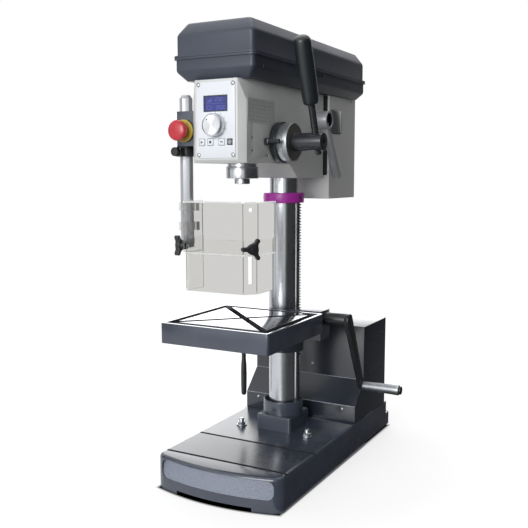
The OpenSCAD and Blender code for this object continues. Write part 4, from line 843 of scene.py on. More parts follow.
def buildDisplay():
    s = named(showSize)
    window = brick("display_window", at(-s.half, -s.front, s.low), at(s.half, -s.back, s.high))
    pick(window, "FACE", lambda c, n: n.y < -0.9)
    bpy.ops.mesh.inset(thickness=s.bezel * mm)
    pushOut(at(0, s.sink, 0))
    leaveEdit()
    paint(window, "darkInk", "displayGlass", "paleSegment")
    paintFaces(window, 1, lambda c, n: n.y < -0.9 and abs(c.x) < (s.half - s.bezel) / 2 * mm
               and (s.low + s.bezel) * mm < c.z < (s.high - s.bezel) * mm)
    w, h, t = s.digitWide, s.digitHigh, s.stroke
    upright = h / 2 - t
    strokes = ((0, h / 2, w, t), (-w / 2, h / 4, t, upright), (w / 2, h / 4, t, upright), (0, 0, w, t),
               (-w / 2, -h / 4, t, upright), (w / 2, -h / 4, t, upright), (0, -h / 2, w, t))
    bars = [(x + dx, row + dz, wide, high) for row, places, figures in s.rows for x, figure in zip(places, figures)
            for on, (dx, dz, wide, high) in zip(figureBars[figure], strokes) if on == "1"]
    parts = [window]
    for x, z, wide, high in bars + gaugeBars:
        middle, reach = at(x, s.sink - s.front, z), at(wide / 2, 0, high / 2)
        parts.append(brick("bar", middle - reach - at(0, 0.12, 0), middle + reach + at(0, 0.2, 0), "paleSegment"))
    standFor(joined("display_window", parts), "display")


buildDisplay()

# keys: three pale ones with plain signs, the dark one with a ring and a dot
keySize = {"half": 5.95, "front": 287, "back": 281.5, "z": 710.5, "edge": 0.9, "corner": 1.4, "signHigh": 0.4,
           "ring": (2.9, 3.7), "dot": 1.1}
keySigns = (((-2.4, -2.6), (2.8, 0), (-2.4, 2.6)), oblong((-2.3, -2.3), (2.3, 2.3)), oblong((-2.8, -1), (2.8, 1)))


def keyCap(number, x):
    s = named(keySize)
    name = "key_%d" % (number + 1)
    cap = brick(name + "_cap", at(x - s.half, -s.front, s.z - s.half), at(x + s.half, -s.back, s.z + s.half))
    roundEdges(cap, lambda a, b: abs(a.y - b.y) > 0.001, s.corner, 4)
    roundEdges(cap, lambda a, b: max(a.y, b.y) < -(s.front - 0.1) * mm, s.edge, 3)
    spot, high = at(x, -s.front - 0.1, s.z), s.signHigh
    if number == 3:
        (inner, outer), dot = s.ring, s.dot
        paint(cap, "darkInk")
        ring = [(inner, 0), (outer, 0), (outer, high), (inner, high), (inner, 0)]
        sign = [turned("sign", ring, spot, toBack, 40, "panelFilm"),
                turned("sign", [(0, 0), (dot, 0), (dot, high), (0, high)], spot, toBack, 24, "panelFilm")]
    else:
        paint(cap, "panelFilm")
        sign = [plate("sign", [spot + at(dx, 0, dz) for dx, dz in keySigns[number]], at(0, high, 0), finish="darkInk")]
    fit(joined(name + "_cap", [cap] + sign), name)


for number, x in enumerate(panelSize["keys"]):
    keyCap(number, x)


def fluted(obj, count, test, width, depth, centre):
    # sinks every other face of a turned rim
    pick(obj, "FACE", lambda c, n: abs(n.y) < 0.2 and test(c, math.hypot(c.x - centre.x, c.z - centre.z) / mm)
         and math.floor(math.atan2(c.z - centre.z, c.x - centre.x) / math.tau * 2 * count) % 2 == 0)
    bpy.ops.mesh.inset(thickness=width * mm, depth=-depth * mm, use_individual=True)
    leaveEdit()


# control knob: fluted rim, chamfer and a ring-brushed face with a pointer dot
knobSize = {"z": 742, "front": 302.4, "back": 286.4, "r": 22, "foot": 21.2, "face": 18.6, "flutes": 60,
            "fluteWide": 0.12, "fluteDeep": 0.45, "dot": 1.3, "dotAt": (-9.5, 10.5), "shaft": 5, "shaftIn": 14}


def buildKnob():
    s = named(knobSize)
    seat, length = at(0, -s.back, s.z), s.front - s.back
    line = [(0, 0), (s.foot - 0.6, 0), (s.foot, 0.6), (s.foot, 2.4), (s.r, 3.2), (s.r, length - 3),
            (s.r - 0.6, length - 1.8), (s.face + 0.6, length - 0.3), (s.face, length), (s.face - 0.8, length - 0.5),
            (0, length - 0.5)]
    knob = turned("control_knob_turned", line, seat, -toBack, 2 * s.flutes)
    middle = (s.front + s.back) / 2 * mm
    fluted(knob, s.flutes, lambda c, r: abs(c.y + middle) < 3 * mm and r > s.r - 0.4, s.fluteWide, s.fluteDeep, seat)
    paint(knob, "ringBrushed", "darkInk")
    dotX, dotZ = s.dotAt
    dot = turned("dot", roundBar(s.dot, 0, 0.5, 0.2), at(dotX, -s.front + 0.6, s.z + dotZ), -toBack, 20, "darkInk")
    shaft = turned("shaft", roundBar(s.shaft, -s.shaftIn, 1, 0.4), seat, -toBack, 32, "zincSteel")
    fit(joined("control_knob_turned", [knob, dot, shaft]), "control_knob", angle=30)


buildKnob()

# stop button: mushroom on a yellow collar
stopSize = {"x": -80, "z": 734, "block": 271.4, "back": 285.8, "front": 305.8, "r": 20, "dome": 6, "collar": 22,
            "hub": 17, "hole": 6.1, "stem": 6}


def buildStop():
    s = named(stopSize)
    seat = at(s.x, -s.block, s.z)
    line = ([(s.hole, 0), (s.hub - 0.6, 0), (s.hub, 0.6), (s.hub, 4)] + rim(s.collar, 4, 7, 0.7, 0.9)
            + [(s.hub, 7.2), (s.hub - 0.4, 8.6), (s.hub - 1.4, 9), (s.hole, 9), (s.hole, 0)])
    fit(turned("stop_collar_disc", line, seat, -toBack), "stop_collar", "yellowPlastic")
    top, low, turns = s.front - s.block - s.dome, s.back - s.block, [math.radians(15 * k) for k in range(7)]
    line = [(0, -20), (s.stem, -20), (s.stem, low), (15.5, low), (16.6, low + 0.8), (17.4, low + 3), (18.8, low + 6),
            (19.6, low + 9), (s.r, low + 12.5)] + [(s.r * math.cos(a), top + s.dome * math.sin(a)) for a in turns]
    fit(turned("stop_button_cap", line, seat, -toBack, 72), "stop_button", "redPlastic", angle=40)


buildStop()
print("head and controls built")

# feed: scale drum, hub, lever and grip turn about one axis
feedSize = {"y": -143.8, "z": 713.5, "neck": 30, "neckAt": 60.4, "drum": 39, "drumAt": 70.4, "grooveAt": 87.2,
            "hubAt": 98.4, "hub": 18, "hubEnd": 162.4, "hubIn": 128, "axle": 12, "socket": 5, "socketDeep": 6,
            "lever": 146.4, "lean": 20.5, "rod": 7, "rodLow": -26, "rodHigh": 188, "gripLow": 76, "gripHigh": 208,
            "gripLine": ((0.74, 0.4), (0.83, 1.6), (0.89, 4), (0.93, 9), (0.95, 18), (0.97, 34), (0.99, 50), (1, 70),
                         (1, 96), (0.985, 112)),
            "grip": 17, "gripDome": 12, "ring": 41, "ringAt": 61, "ringEnd": 70, "skirt": 75, "lug": -197.8,
            "lugHalf": 7, "markAt": 77, "markHalf": 0.22, "marks": ((72, 3.2), (12, 6.5)), "screw": 5, "screwLong": 22}
feedAxis = at(0, feedSize["y"], feedSize["z"])


def buildDrum():
    s = named(feedSize)
    r, groove, end = s.drum, s.grooveAt, s.hubAt
    line = [(s.axle, s.neckAt), (s.neck, s.neckAt), (s.neck, s.drumAt)] + bend(r - 0.6, s.drumAt, 0.6, 1)
    line += [(r - 0.6, groove), (r - 1.1, groove + 0.3), (r - 1.1, groove + 0.8), (r, groove + 1.2)]
    line += bend(r, end - 0.2, 1.2, -1)
    line += [(r - 2.2, end - 0.2), (r - 2.6, end - 0.6), (s.axle, end - 0.6), (s.axle, s.neckAt)]
    drum = turned("scale_drum_turned", line, feedAxis, toRight, 96)
    paint(drum, "satinAluminium", "facedSteel", "zincSteel")
    paintFaces(drum, 2, lambda c, n: c.x < (groove + 0.4) * mm)
    paintFaces(drum, 1, lambda c, n: n.x > 0.9 and c.x > (end - 1.6) * mm
               and (c - feedAxis - at(end, 0, 0)).length < (r - 2) * mm)
    # engraved scale: a line each 5 degrees, a long one each 30
    parts = [drum]
    for count, long in s.marks:
        mark = brick("marks", feedAxis + at(s.markAt, -s.markHalf, r - 1),
                     feedAxis + at(s.markAt + long, s.markHalf, r - 0.52), "darkInk")
        repeatAround(mark, count, feedAxis, toRight)
        parts.append(mark)
    fit(joined("scale_drum_turned", parts), "scale_drum")


def buildLever():
    s = named(feedSize)
    inner, start, end = s.axle + 0.4, s.hubAt, s.hubEnd
    line = [(0, s.hubIn), (inner, s.hubIn), (inner, start - 0.5), (s.hub - 0.4, start - 0.5), (s.hub, start)]
    line += bend(s.hub, end, 1.6, -1, 4)
    line += [(s.socket + 0.6, end), (s.socket, end - 0.6), (s.socket, end - s.socketDeep), (0, end - s.socketDeep)]
    fit(turned("lever_hub_lacquer", line, feedAxis, toRight), "lever_hub", "blackLacquer")
    lean = math.radians(s.lean)
    along, root = Vector((0, -math.sin(lean), math.cos(lean))), feedAxis + at(s.lever, 0, 0)
    rod = turned("lever_rod_lacquer", roundBar(s.rod, s.rodLow, s.rodHigh, 1.2), root, along, 40)
    fit(rod, "lever_rod", "blackLacquer")
    low, dome, r = s.gripLow, s.gripHigh - s.gripDome, s.grip
    line = [(s.rod, low + 1), (s.rod + 1.2, low)]
    line += [(share * r, low + t) for share, t in s.gripLine]
    line += [(0.96 * r * math.cos(math.radians(a)), dome + s.gripDome * math.sin(math.radians(a)))
             for a in range(0, 91, 15)]
    fit(turned("lever_grip_moulded", line, root, along), "lever_grip", "gripPlastic", angle=50)


def buildDepthRing():
    s = named(feedSize)
    # a thin skirt of the ring runs forward over the drum's edge
    hole, over = s.neck + 0.1, s.drum + 0.3
    line = [(hole, s.ringAt)] + rim(s.ring, s.ringAt, s.skirt, 1, 0.8)
    line += [(over, s.skirt), (over, s.ringEnd), (hole, s.ringEnd), (hole, s.ringAt)]
    ring = turned("depth_ring_lacquer", line, feedAxis, toRight, 96, "blackLacquer")
    lug = plate("lug", [at(s.ringAt, y, s.z + z) for y, z in oblong((s.lug - s.lugHalf, -s.lugHalf),
                                                                   (s.y - s.ring + 3, s.lugHalf))],
                at(s.ringEnd - s.ringAt, 0, 0), 3.5, 4)
    softEdges(lug, 0.7)
    paint(lug, "blackLacquer")
    fit(joined("depth_ring_lacquer", [ring, lug]), "depth_ring")
    low, x, r = s.ringAt, s.ringEnd, s.screw
    line = [(0, low + 0.3), (3.1, low + 0.3), (3.5, low + 0.8), (3.5, x + 0.4), (r - 0.6, x + 0.4), (r, x + 1)]
    line += [(r - 0.35 * (k % 2), x + 2 + k * 0.7) for k in range(22)]
    line += bend(r, x + s.screwLong, 1.2, -1) + [(0, x + s.screwLong)]
    screw = turned("stop_screw_knurled", line, at(0, s.lug, s.z), toRight, 32)
    fit(screw, "stop_screw", "blackLacquer", angle=25)


buildDrum()
buildLever()
buildDepthRing()

# belt tension: hub with an open bore and a bar hanging from it
tensionSize = {"y": 35, "z": 769, "x": 60.4, "end": 95.4, "r": 19.5, "bore": 15, "boreDeep": 16, "stub": 8,
               "stubAt": 42, "barMid": 80.4, "barHalf": 8, "barFrom": 8, "barSide": 6, "barRound": 4,
               "barEdge": 0.9, "length": 150, "lean": 33}


def buildTension():
    s = named(tensionSize)
    axis, floor = at(0, s.y, s.z), s.end - s.boreDeep
    line = [(0, s.stubAt), (s.stub, s.stubAt), (s.stub, s.x)] + rim(s.r, s.x, s.end, 0.8, 1.4)
    line += [(s.bore + 0.8, s.end), (s.bore, s.end - 0.8), (s.bore, floor), (0, floor)]
    hub = turned("tension_lever_hub", line, axis, toRight)
    paint(hub, "drawnSteel", "blackOxide")
    # the bore's inner faces are painted black as painted shade inside the hole
    paintFaces(hub, 1, lambda c, n: c.x > (floor - 0.1) * mm
               and math.hypot(c.y - axis.y, c.z - axis.z) < (s.bore + 0.1) * mm)
    lean = math.radians(s.lean)
    down, side = Vector((0, math.sin(lean), -math.cos(lean))), Vector((0, math.cos(lean), math.sin(lean)))
    root = at(s.barMid - s.barHalf, s.y, s.z)
    ends = ((s.barFrom, -s.barSide), (s.length, -s.barSide), (s.length, s.barSide), (s.barFrom, s.barSide))
    bar = plate("bar", [root + (down * t + side * w) * mm for t, w in ends], at(2 * s.barHalf, 0, 0), s.barRound, 4)
    softEdges(bar, s.barEdge)
    paint(bar, "drawnSteel")
    fit(joined("tension_lever_satin", [hub, bar]), "tension_lever")


buildTension()
print("feed and tension lever built")

# hood: two vacuum-formed halves with soft shoulders and a flat lip
hoodSize = {"shoulders": {"hood_tray": (845.5,), "hood_lid": (914.5, 938.5)}, "round": 4, "edge": 1.1}


def buildHood():
    s = named(hoodSize)
    for node, levels in s.shoulders.items():
        shell = copyNode(node, node + "_shell")
        for level in levels:
            roundEdges(shell, lambda a, b: max(abs(a.z - level * mm), abs(b.z - level * mm)) < 0.2 * mm, s.round, 4)
        softEdges(shell, s.edge, 2, 35)
        fit(shell, node, "hoodPaint", angle=40)


buildHood()

# motor box on its slide, with cover screws, louvres, and the plate that the tension lever's link bolts to
boxSize = {"half": 70.7, "front": 89, "rear": 244, "high": 828.1, "edge": 1.6, "screwIn": 9, "screwRear": 24,
           "screwDown": 4.2, "rearIn": 12, "rearZ": (608, 711.05, 810.1), "louvres": 9, "louvreAt": 640,
           "louvreStep": 12, "louvreHigh": 6, "louvreOut": 2.6, "louvreHalf": 36, "plateLow": (95, 745),
           # the link plate's dark edge is a painted shadow, and the gap behind the head gets a dark plate of painted
           # shade
           "plateHigh": (155, 798), "plateThick": 1.3, "lipDown": 2, "lipOut": 3, "sealHalf": 66, "sealLow": 648,
           "sealHigh": 827, "sealThick": 1.2}


def buildMotorBox():
    s = named(boxSize)
    shell = copyNode("motor_box", "motor_box_shell")
    softEdges(shell, s.edge, 3)
    paint(shell, "headPaint")
    parts = [shell]
    for y in (s.front + s.screwIn, s.rear - s.screwRear):
        for hand in (-1, 1):
            parts.append(screwHead(at(hand * s.half, y, s.high - s.screwDown), toRight * hand, 3, 1.4))
    for x in (s.rearIn - s.half, s.half - s.rearIn):
        parts += [screwHead(at(x, s.rear, z), toBack, 2.6, 1.3) for z in s.rearZ]
    for row in range(s.louvres):
        z, face = s.louvreAt + row * s.louvreStep, s.rear - 0.4
        louvre = plate("louvre", [at(-s.louvreHalf, face, z), at(-s.louvreHalf, s.rear + s.louvreOut, z),
                                  at(-s.louvreHalf, face, z + s.louvreHigh)], at(2 * s.louvreHalf, 0, 0))
        softEdges(louvre, 0.5)
        paint(louvre, "headPaint")
        parts.append(louvre)
    fit(joined("motor_box_shell", parts), "motor_box")
    # the link's plate gets a dark edge at its rear and foot: a painted shadow that the plate's edges cast
    (y0, z0), (y1, z1) = s.plateLow, s.plateHigh
    link = plate("link_plate", [at(s.half, y, z) for y, z in oblong((y0, z0), (y1, z1))], at(s.plateThick, 0, 0), 8)
    softEdges(link, 0.4)
    paint(link, "zincSteel")
    edge = oblong((y0, z0 - s.lipDown), (y1 + s.lipOut, z1 - s.lipDown))
    lip = plate("link_edge_shadow", [at(s.half, y, z) for y, z in edge], at(s.plateThick - 0.3, 0, 0), 9, finish="blackOxide")
    link = joined("link_plate", [link, lip])
    # a dark plate on the box's front, in the gap behind the head: painted shade where the gap lies in shadow
    edge = oblong((-s.sealHalf, s.sealLow), (s.sealHalf, s.sealHigh))
    gapShade = plate("gap_shade_plate", [at(x, s.front, z) for x, z in edge], at(0, -s.sealThick, 0), 3, 4, "beltRubber")
    for piece in (link, gapShade):
        smooth(piece)
        hang(piece, "carriage", "black_coat")


buildMotorBox()

# side plate: film ruled into a plain grid
infoSize = {"back": 60, "film": 0.55, "ruleBack": 60.5, "x": 60.6, "front": 268, "rear": 160, "low": 748, "high": 794,
            "corner": 2.5, "rows": 5, "columns": 6, "line": 0.5, "inY": 6, "inZ": 5}


def buildInfoPlate():
    s = named(infoSize)
    parts = [plate("info_film", [at(s.back, y, z) for y, z in oblong((-s.front, s.low), (-s.rear, s.high))],
                   at(s.film, 0, 0), s.corner, 4, "infoFilm")]
    y0, y1, z0, z1, half = s.inY - s.front, -s.rear - s.inY, s.low + s.inZ, s.high - s.inZ, s.line / 2
    for row in range(s.rows + 1):
        z = z0 + (z1 - z0) * row / s.rows
        parts.append(brick("rule", at(s.ruleBack, y0, z - half), at(s.x, y1, z + half), "greyInk"))
    for column in range(s.columns + 1):
        y = y0 + (y1 - y0) * column / s.columns
        parts.append(brick("rule", at(s.ruleBack, y - half, z0), at(s.x, y + half, z1), "greyInk"))
    fit(joined("info_film", parts), "info_plate")


buildInfoPlate()

# screws of the panel, head, hood and cabinet, each with its socket
screwSize = {"panelX": 38.5, "panelZ": (686, 819), "panelFront": 286, "headX": 53, "head": (2.95, 6),
             "headAt": ((-249, 719), (-249, 694.5), (-188.8, 686.5)), "hoodX": 88,
             "hoodAt": ((-256, 849.5), (-116, 850), (-8, 860.5), (9, 861)), "caseX": 145, "caseY": (169, 250),
             "caseZ": (173, 259), "frontAt": ((-112, 84, 103), (112, 84, 103), (12, 136, 190))}


def buildScrews():
    s = named(screwSize)
    parts = []
    for x in (-s.panelX, s.panelX):
        for z in s.panelZ:
            seat = at(x, -s.panelFront, z)
            parts += [screwHead(seat - at(0, 0.2, 0), -toBack),
                      turned("washer", roundRing(4.2, 3, -0.3, 0.25, 0.15), seat, -toBack, 24, "blackOxide"),
                      turned("shank", roundBar(2, -2, 0.3, 0.2), seat, -toBack, 16, "zincSteel")]
    parts += [screwHead(at(s.headX, y, z), toRight, *s.head, "blackOxide") for y, z in s.headAt]
    parts += [screwHead(at(s.hoodX, y, z), toRight, finish="blackOxide") for y, z in s.hoodAt]
    parts += [screwHead(at(hand * s.caseX, y, z), toRight * hand, finish="blackOxide")
              for y in s.caseY for z in s.caseZ for hand in (-1, 1)]
    parts += [screwHead(at(*place), -toBack) for place in s.frontAt]
    fit(joined("case_screws_zinc", parts), "case_screws")


buildScrews()
print("hood, motor box and screws built")

# quill, its guide and the spindle nose with its taper socket
spindleSize = {"y": -185.8, "guide": 33, "neck": 30, "bore": 27.05, "low": 641, "step": 665, "guideTop": 691,
               "nose": 16, "noseLow": 630, "noseHigh": 10.6, "socket": 8.9, "socketDeep": 62, "shaft": 12.5, "top": 900,
               "quillEdge": 0.4}


def buildSpindle():
    s = named(spindleSize)
    axis = at(0, s.y, 0)
    line = ([(s.bore, s.low)] + rim(s.guide, s.low, s.step, 1, 1)
            + [(s.neck, s.step), (s.neck, s.guideTop), (s.bore, s.guideTop), (s.bore, s.low)])
    fit(turned("quill_guide_turned", line, axis, toTop, 72), "quill_guide", "groundSteel")
    low, r, high = s.noseLow, s.nose, s.noseLow + s.noseHigh
    line = [(0, low + s.socketDeep), (s.socket - 1.55, low + s.socketDeep), (s.socket, low + 0.6),
            (s.socket + 0.6, low), (r - 1.2, low), (r, low + 1.2), (r, low + 6), (r - 0.5, low + 6.4),
            (r - 0.5, low + 7.2), (r, low + 7.6), (r, high - 0.8), (r - 0.8, high), (s.shaft, high),
            (s.shaft, s.top - 1.5), (s.shaft - 1.5, s.top), (0, s.top)]
    spindle = turned("spindle_turned", line, axis, toTop)
    paint(spindle, "groundSteel", "blackOxide")
    # the taper socket's inner faces are painted black as painted shade inside the bore
    paintFaces(spindle, 1, lambda c, n: (low + 1) * mm < c.z < (low + s.socketDeep + 1) * mm
               and math.hypot(c.x, c.y - axis.y) < (s.socket + 0.1) * mm)
    fit(spindle, "spindle")
    quill = copyNode("quill", "quill_ground")
    softEdges(quill, s.quillEdge)
    fit(quill, "quill", "groundSteel")


buildSpindle()

# lift rack: bright ground flanks, teeth painted dark as shade
rackSize = {"teethAt": 36}


def buildRack():
    rack = copyNode("rack", "rack_cut")
    paint(rack, "groundSteel", "slotShadeIron")
    splitAt(rack, at(rackSize["teethAt"], 0, 0), toRight)
    # the teeth get painted shade
    paintFaces(rack, 1, lambda c, n: c.x > (rackSize["teethAt"] + 0.01) * mm)
    fit(rack, "rack")


buildRack()

# belt pulleys under the hood, turned with a web groove in the top
pulleySize = {"low": 844, "top": 880, "big": 50, "small": 30, "flange": 5, "flangeHigh": 4, "spindleY": -185.8,
              "motorY": 166, "bore": 12.55, "sleeve": 20, "sleeveLow": 792.5, "shaft": 10, "shaftLow": 744}


def buildPulleys():
    s = named(pulleySize)
    low, top, r = s.low, s.top, s.big
    line = [(s.bore, s.sleeveLow), (s.sleeve, s.sleeveLow), (s.sleeve, low)]
    line += rim(r + s.flange, low, low + s.flangeHigh, 0.8, 0.8)
    line += [(r, low + s.flangeHigh), (r, top - 1), (r - 1, top), (r - 6, top), (r - 8, top - 8), (24, top - 8),
             (22, top), (s.bore, top), (s.bore, s.sleeveLow)]
    big = turned("spindle_pulley_turned", line, at(0, s.spindleY, 0), toTop, 72)
    fit(big, "spindle_pulley", "satinAluminium")
    r = s.small
    line = [(0, s.shaftLow), (s.shaft, s.shaftLow), (s.shaft, low), (r - 1, low), (r, low + 1), (r, top - s.flangeHigh)]
    line += rim(r + s.flange, top - s.flangeHigh, top, 0.8, 0.8)
    line += [(r - 6, top), (r - 8, top - 5), (13, top - 5), (12, top), (0, top)]
    fit(turned("motor_pulley_turned", line, at(0, s.motorY, 0), toTop), "motor_pulley", "satinAluminium")


buildPulleys()

# chip guard: two folded sheets that slide on each other, held by star knobs; each one's height, corner round,
# levels with a rolled lip, and folds
guardSize = {"edge": 0.35, "holeAt": (68.8, -272.5, 582), "hole": 4.2, "lip": 1.4, "foldLine": 0.7, "wingX": -72.5,
             "clipX": -80.3}
sheets = {"guard_upper": ((493, 597), 4, (494.5, 595.5),
                          ((-78.3, -216), (-78.3, -282), (57.2, -282), (78.3, -260.9), (78.3, -191))),
          "guard_lower": ((419, 523), 1.6, (),
                          ((-74.8, -220), (-74.8, -278.5), (55.7, -278.5), (74.8, -259.4), (74.8, -195)))}


def buildGuard(node):
    s = named(guardSize)
    (low, high), bendRound, lips, folds = sheets[node]
    sheet = copyNode(node, node + "_sheet")
    roundEdges(sheet, lambda a, b: abs(a.z - b.z) > 0.05 and abs(a.x - b.x) + abs(a.y - b.y) < 0.1 * mm
               and a.x > (s.clipX - 0.2) * mm and a.y < -0.2, bendRound, 3)
    if node == "guard_upper":
        out, r = Vector((1, -1, 0)).normalized(), s.hole
        combine(sheet, turned("hole", [(0, -9), (r, -9), (r, 9), (0, 9)], at(*s.holeAt), out, 32))
    softEdges(sheet, s.edge, 1, 50)
    paint(sheet, "clearSheet", "cutEdge", "lightenedLapSheet", "clipHighlightClear")
    # paler sheet where the halves overlap and on the wing: painted light against the darkening through two layers
    if node == "guard_lower":
        lap = sheets["guard_upper"][0][0]
        splitAt(sheet, at(0, 0, lap), toTop)
        paintFaces(sheet, 2, lambda c, n: c.z > lap * mm)
    paintFaces(sheet, 2, lambda c, n: c.x < s.wingX * mm)
    # the clip blocks get a pale tone as a painted highlight
    paintFaces(sheet, 3, lambda c, n: c.x < s.clipX * mm)
    paintFaces(sheet, 1, lambda c, n: min(abs(c.z - low * mm), abs(c.z - high * mm)) < 0.5 * mm
               or n.y > 0.9 and abs(c.x) > 0.07 and c.y > -0.225)
    # rolled lips along the long edges, with a painted glow, and the clouded line that each fold leaves
    folds, parts = [at(x, y, 0) for x, y in folds], [sheet]
    for z in lips:
        for start, end in zip(folds, folds[1:]):
            run = end - start
            parts.append(turned("lip", roundBar(s.lip, -0.6, run.length / mm + 0.6, 0.6), start + at(0, 0, z),
                                run.normalized(), 12, "glowingLip"))
    for fold in folds[1:-1]:
        parts.append(turned("fold", roundBar(s.foldLine, low + 3, high - 3, 0.4), fold, toTop, 12, "cutEdge"))
    fit(joined(node + "_sheet", parts), node)


for node in sheets:
    buildGuard(node)

# star knobs: three arms drawn out of a hub, on a threaded stud
starSize = {"right": (68.8, -272.5, 508), "left": (-79.8, -270.5, 508), "hub": 8, "seat": 0.4, "low": 10, "high": 21,
            "r": 22.8, "tip": 4.3, "edge": 1.8, "cap": 5.2, "stud": 3, "studIn": 8, "arms": (30, 150, 270),
            "flank": ((16, 14.5), (24, 11.8), (40, 11), (60, 10.8), (80, 11), (96, 11.8), (104, 14.5))}


def buildStar(hand, out, side):
    s = named(starSize)
    centre, outline = at(*starSize[hand]), []

    def spoke(turn, reach):
        return (-toTop * math.cos(math.radians(turn)) + side * math.sin(math.radians(turn))) * reach

    for arm in s.arms:
        outline += [spoke(arm, s.r - s.tip) + spoke(arm + k * 26, s.tip) for k in range(-3, 4)]
        # the arm's flank runs in a hollow curve to the next arm
        outline += [spoke(arm + swing, reach) for swing, reach in s.flank]
    low, high = s.seat + s.low, s.seat + s.high
    arms = plate("arms", [centre + p * mm + out * low * mm for p in outline], out * (s.high - s.low) * mm)
    softEdges(arms, s.edge, 4, 50)
    paint(arms, "blackNylon")
    hub = [(0, s.seat)] + bend(s.hub, s.seat, 0.8, 1) + [(s.hub + 0.6, low + 2), (0, low + 2)]
    cap = [(0, high - 0.6), (s.cap, high - 0.6), (s.cap - 0.2, high + 0.2), (s.cap - 1, high + 0.4), (0, high + 0.4)]
    stud = roundBar(s.stud, -s.studIn, s.seat + 3, 0.4)
    parts = [turned("part", line, centre, out, steps, finish) for line, steps, finish in
             ((hub, 40, "blackNylon"), (cap, 32, "blackNylon"), (stud, 20, "zincSteel"))]
    fit(joined("star_%s_moulded" % hand, [arms] + parts), "star_knob_" + hand, angle=40)


diagonal = math.sqrt(0.5)
buildStar("right", Vector((diagonal, -diagonal, 0)), Vector((diagonal, diagonal, 0)))
buildStar("left", -toRight, -toBack)
print("spindle, pulleys and guard built")

# turned handle of the table crank, on its pin
crankSize = {"y": 80.2, "z": 167.5, "start": 164.4, "end": 252.4, "r": 11.5, "pin": 5.2}


def buildHandle():
    s = named(crankSize)
    start, end, r = s.start, s.end, s.r
    line = [(s.pin, start), (r - 3.4, start), (r - 2.4, start + 0.7), (r - 1.6, start + 2.4), (r - 1.4, start + 5),
            (r, end - 8), (r, end - 2.4), (r - 0.7, end - 0.9), (r - 2.2, end), (r - 3.4, end), (r - 3.8, end - 1.2),
            (s.pin, end - 1.2), (s.pin, start)]
    handle = turned("crank_handle_turned", line, at(0, s.y, s.z), toRight, 56)
    paint(handle, "satinAluminium", "blackOxide")
    paintFaces(handle, 1, lambda c, n: n.x > 0.7 and (end - 1.6) * mm < c.x < (end - 1) * mm)
    fit(handle, "crank_handle")


buildHandle()

# lock of the table bracket: nut and stud with a tapered lever
lockSize = {"x": -90, "z": 285, "front": -31.4, "hubBack": -20.4, "hub": 11, "stud": 6, "nutAt": 20.4, "nutEnd": 28,
            "nut": 10, "reach": 148, "tip": 6,
            "arm": ((0, 4), (6, 6), (5.6, 20), (5, 50), (5, 62), (6.2, 74), (6.8, 96), (6.6, 120))}


def buildLock():
    s = named(lockSize)
    axis, r, low, high = at(s.x, 0, s.z), s.nut, s.nutAt, s.nutEnd
    nut = [(0, low), (r - 0.9, low), (r, low + 0.9), (r, high - 1.6), (r - 1.4, high - 0.4), (0, high - 0.4)]
    hub, stud = roundBar(s.hub, s.front, s.hubBack, 1.4), roundBar(s.stud, s.hubBack - 2, high, 0.8)
    parts = [turned("part", line, axis, toBack, steps) for line, steps in ((hub, 48), (stud, 32), (nut, 6))]
    arm = list(s.arm) + [(s.tip * math.cos(math.radians(a)), s.reach - s.tip + s.tip * math.sin(math.radians(a)))
                         for a in (0, 30, 60, 90)]
    parts.append(turned("part", arm, axis + at(0, (s.front + s.hubBack) / 2, 0), -toTop, 40))
    fit(joined("lock_lever_forged", parts), "lock_lever", "blackOxide", angle=35)


buildLock()

# cover of the return spring on the far side of the head
springSize = {"y": -143.8, "z": 713.5, "out": -86, "inner": -60, "r": 36, "bore": 33, "wall": 3, "boss": 9, "edge": 2,
              "screws": (90, 210, 330), "screwAt": 22}


def buildSpringCover():
    s = named(springSize)
    axis, end, r = at(0, s.y, s.z), s.out, s.r
    line = [(s.bore, s.inner), (r, s.inner), (r, end + s.edge)]
    line += [(r - s.edge + s.edge * math.cos(math.radians(a)), end + s.edge - s.edge * math.sin(math.radians(a)))
             for a in (30, 60, 90)]
    line += [(r - 6, end), (r - 7, end + 0.8), (s.boss + 3, end + 0.8), (s.boss + 2.4, end), (0, end),
             (0, end + s.wall), (s.bore, end + s.wall), (s.bore, s.inner)]
    parts = [turned("spring_cover_cast", line, axis, toRight, 72, "castingPaint")]
    for turn in s.screws:
        out = Vector((0, math.cos(math.radians(turn)), math.sin(math.radians(turn))))
        parts.append(screwHead(axis + at(end + 0.8, 0, 0) + out * s.screwAt * mm, -toRight, 3, 1))
    fit(joined("spring_cover_cast", parts), "spring_housing")


buildSpringCover()

# cable glands at the cabinet's rear: hexagon nut and domed cap
glandSize = {"x": 123, "heights": (94, 124), "inner": 275, "wall": 283, "out": 295, "r": 7, "flange": 10,
             "flangeHigh": 6}


def buildGlands():
    s = named(glandSize)
    r, end, nut, wall, high = s.r, s.out, s.flange, s.wall, s.wall + s.flangeHigh
    body = [(0, s.inner), (r, s.inner), (r, end - 4), (r - 1.2, end - 1), (r - 2.4, end), (3, end), (2.6, end - 4),
            (0, end - 4)]
    flange = [(0, wall), (nut - 0.4, wall), (nut, wall + 0.5), (nut, high - 0.8), (nut - 0.7, high), (0, high)]
    parts = [turned("gland", line, at(s.x, 0, z), toBack, steps) for z in s.heights
             for line, steps in ((body, 40), (flange, 6))]
    fit(joined("cable_glands_moulded", parts), "cable_glands", "blackNylon", angle=28)


buildGlands()

# knurled screw that clamps the guard's rod
clampSize = {"x": -103, "z": 694.1, "front": -276.4, "back": -267.4, "r": 9, "tip": -248.5, "pin": 4, "ribs": 36,
             "ribWide": 0.1, "ribDeep": 0.35}


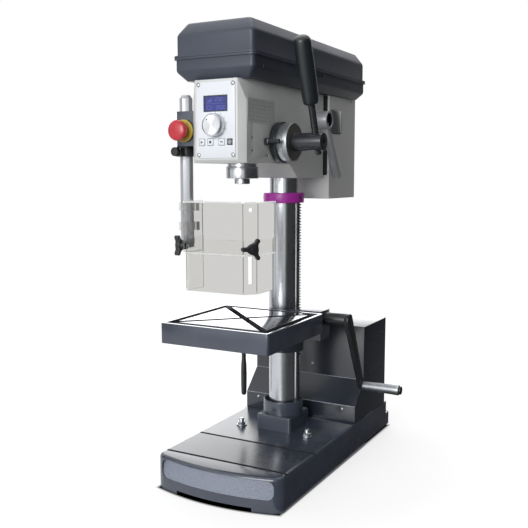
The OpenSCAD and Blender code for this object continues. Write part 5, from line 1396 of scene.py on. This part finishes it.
def buildClampKnob():
    s = named(clampSize)
    axis, r, front, back = at(s.x, 0, s.z), s.r, s.front, s.back
    line = [(0, s.tip), (s.pin - 0.4, s.tip), (s.pin, s.tip - 0.6), (s.pin, back), (r - 1, back), (r, back - 0.8),
            (r, front + 1), (r - 1, front), (r - 3, front), (r - 3.4, front + 0.5), (0, front + 0.5)]
    knob = turned("clamp_knob_knurled", line, axis, toBack, 2 * s.ribs)
    fluted(knob, s.ribs, lambda c, reach: reach > r - 0.4, s.ribWide, s.ribDeep, axis)
    fit(knob, "clamp_knob", "blackNylon", angle=28)


buildClampKnob()

# castings and pressings that keep the CAD's form and get worked edges: piece, finish, edge, steps, edge angle and
# smooth angle
worked = {"guard_rod": ("guard_rod_drawn", "drawnSteel", 0.6, 2, 30, 32),
          "crank_arm": ("crank_arm_forged", "blackOxide", 1.6, 3, 40, 40),
          "rod_clamp": ("rod_clamp_moulded", "blackNylon", 1.2, 3, 30, 32),
          "stop_block": ("stop_block_moulded", "castingPaint", 2.2, 3, 30, 32),
          "table_bracket": ("table_bracket_casting", "castingPaint", 2.4, 3, 30, 32),
          # the cabinet's two sheets take the darker paint as painted shade
          "cabinet": ("cabinet_sheet", "shadedSheetPaint", 1.8, 3, 30, 32),
          "cabinet_front": ("cabinet_front_sheet", "shadedSheetPaint", 1.8, 3, 30, 32),
          "slide_rods": ("slide_rods_ground", "groundSteel", 0.8, 2, 30, 32)}
# rise of the bracket arm's underside to its tip, and the folds of the cabinet's front, whose pale beads carry a painted
# highlight
riseSize = {"half": 50, "side": ((-242, 286), (-165, 286), (-242, 314))}
beadSize = {"r": 1.1, "half": 144.5, "edge": 0.5, "folds": ((84.4, 112), (136.4, 164))}

for node, (name, finish, width, steps, edgeAngle, angle) in worked.items():
    piece = copyNode(node, name)
    if node == "table_bracket":
        half = riseSize["half"]
        combine(piece, plate("rise", [at(-half, y, z) for y, z in riseSize["side"]], at(2 * half, 0, 0)))
    softEdges(piece, width, steps, edgeAngle)
    paint(piece, finish)
    # pale beads along the front's folds: a painted highlight
    if node == "cabinet_front":
        bead = roundBar(beadSize["r"], -beadSize["half"], beadSize["half"], beadSize["edge"])
        piece = joined(name, [piece] + [turned("bead", bead, at(0, y, z), toRight, 12, "foldHighlightPaint")
                                        for y, z in beadSize["folds"]])
    fit(piece, node, angle=angle)
print("crank, lock and cases built")

# nodes that stay as they are, most of them inside the castings
kept = {"column": "groundSteel", "sleeve_bearings": "zincSteel", "return_spring": "zincSteel",
        "quill_bearings": "zincSteel", "feed_shaft": "zincSteel", "worm_shaft": "zincSteel", "lift_gear": "zincSteel",
        "drive_unit": "blackNylon", "belt": "beltRubber", "motor": "motorPaint"}
for node, finish in kept.items():
    paint(frame["nodes"][node], finish)
print("left over:", sorted(set(frame["nodes"]) - made - set(kept)))
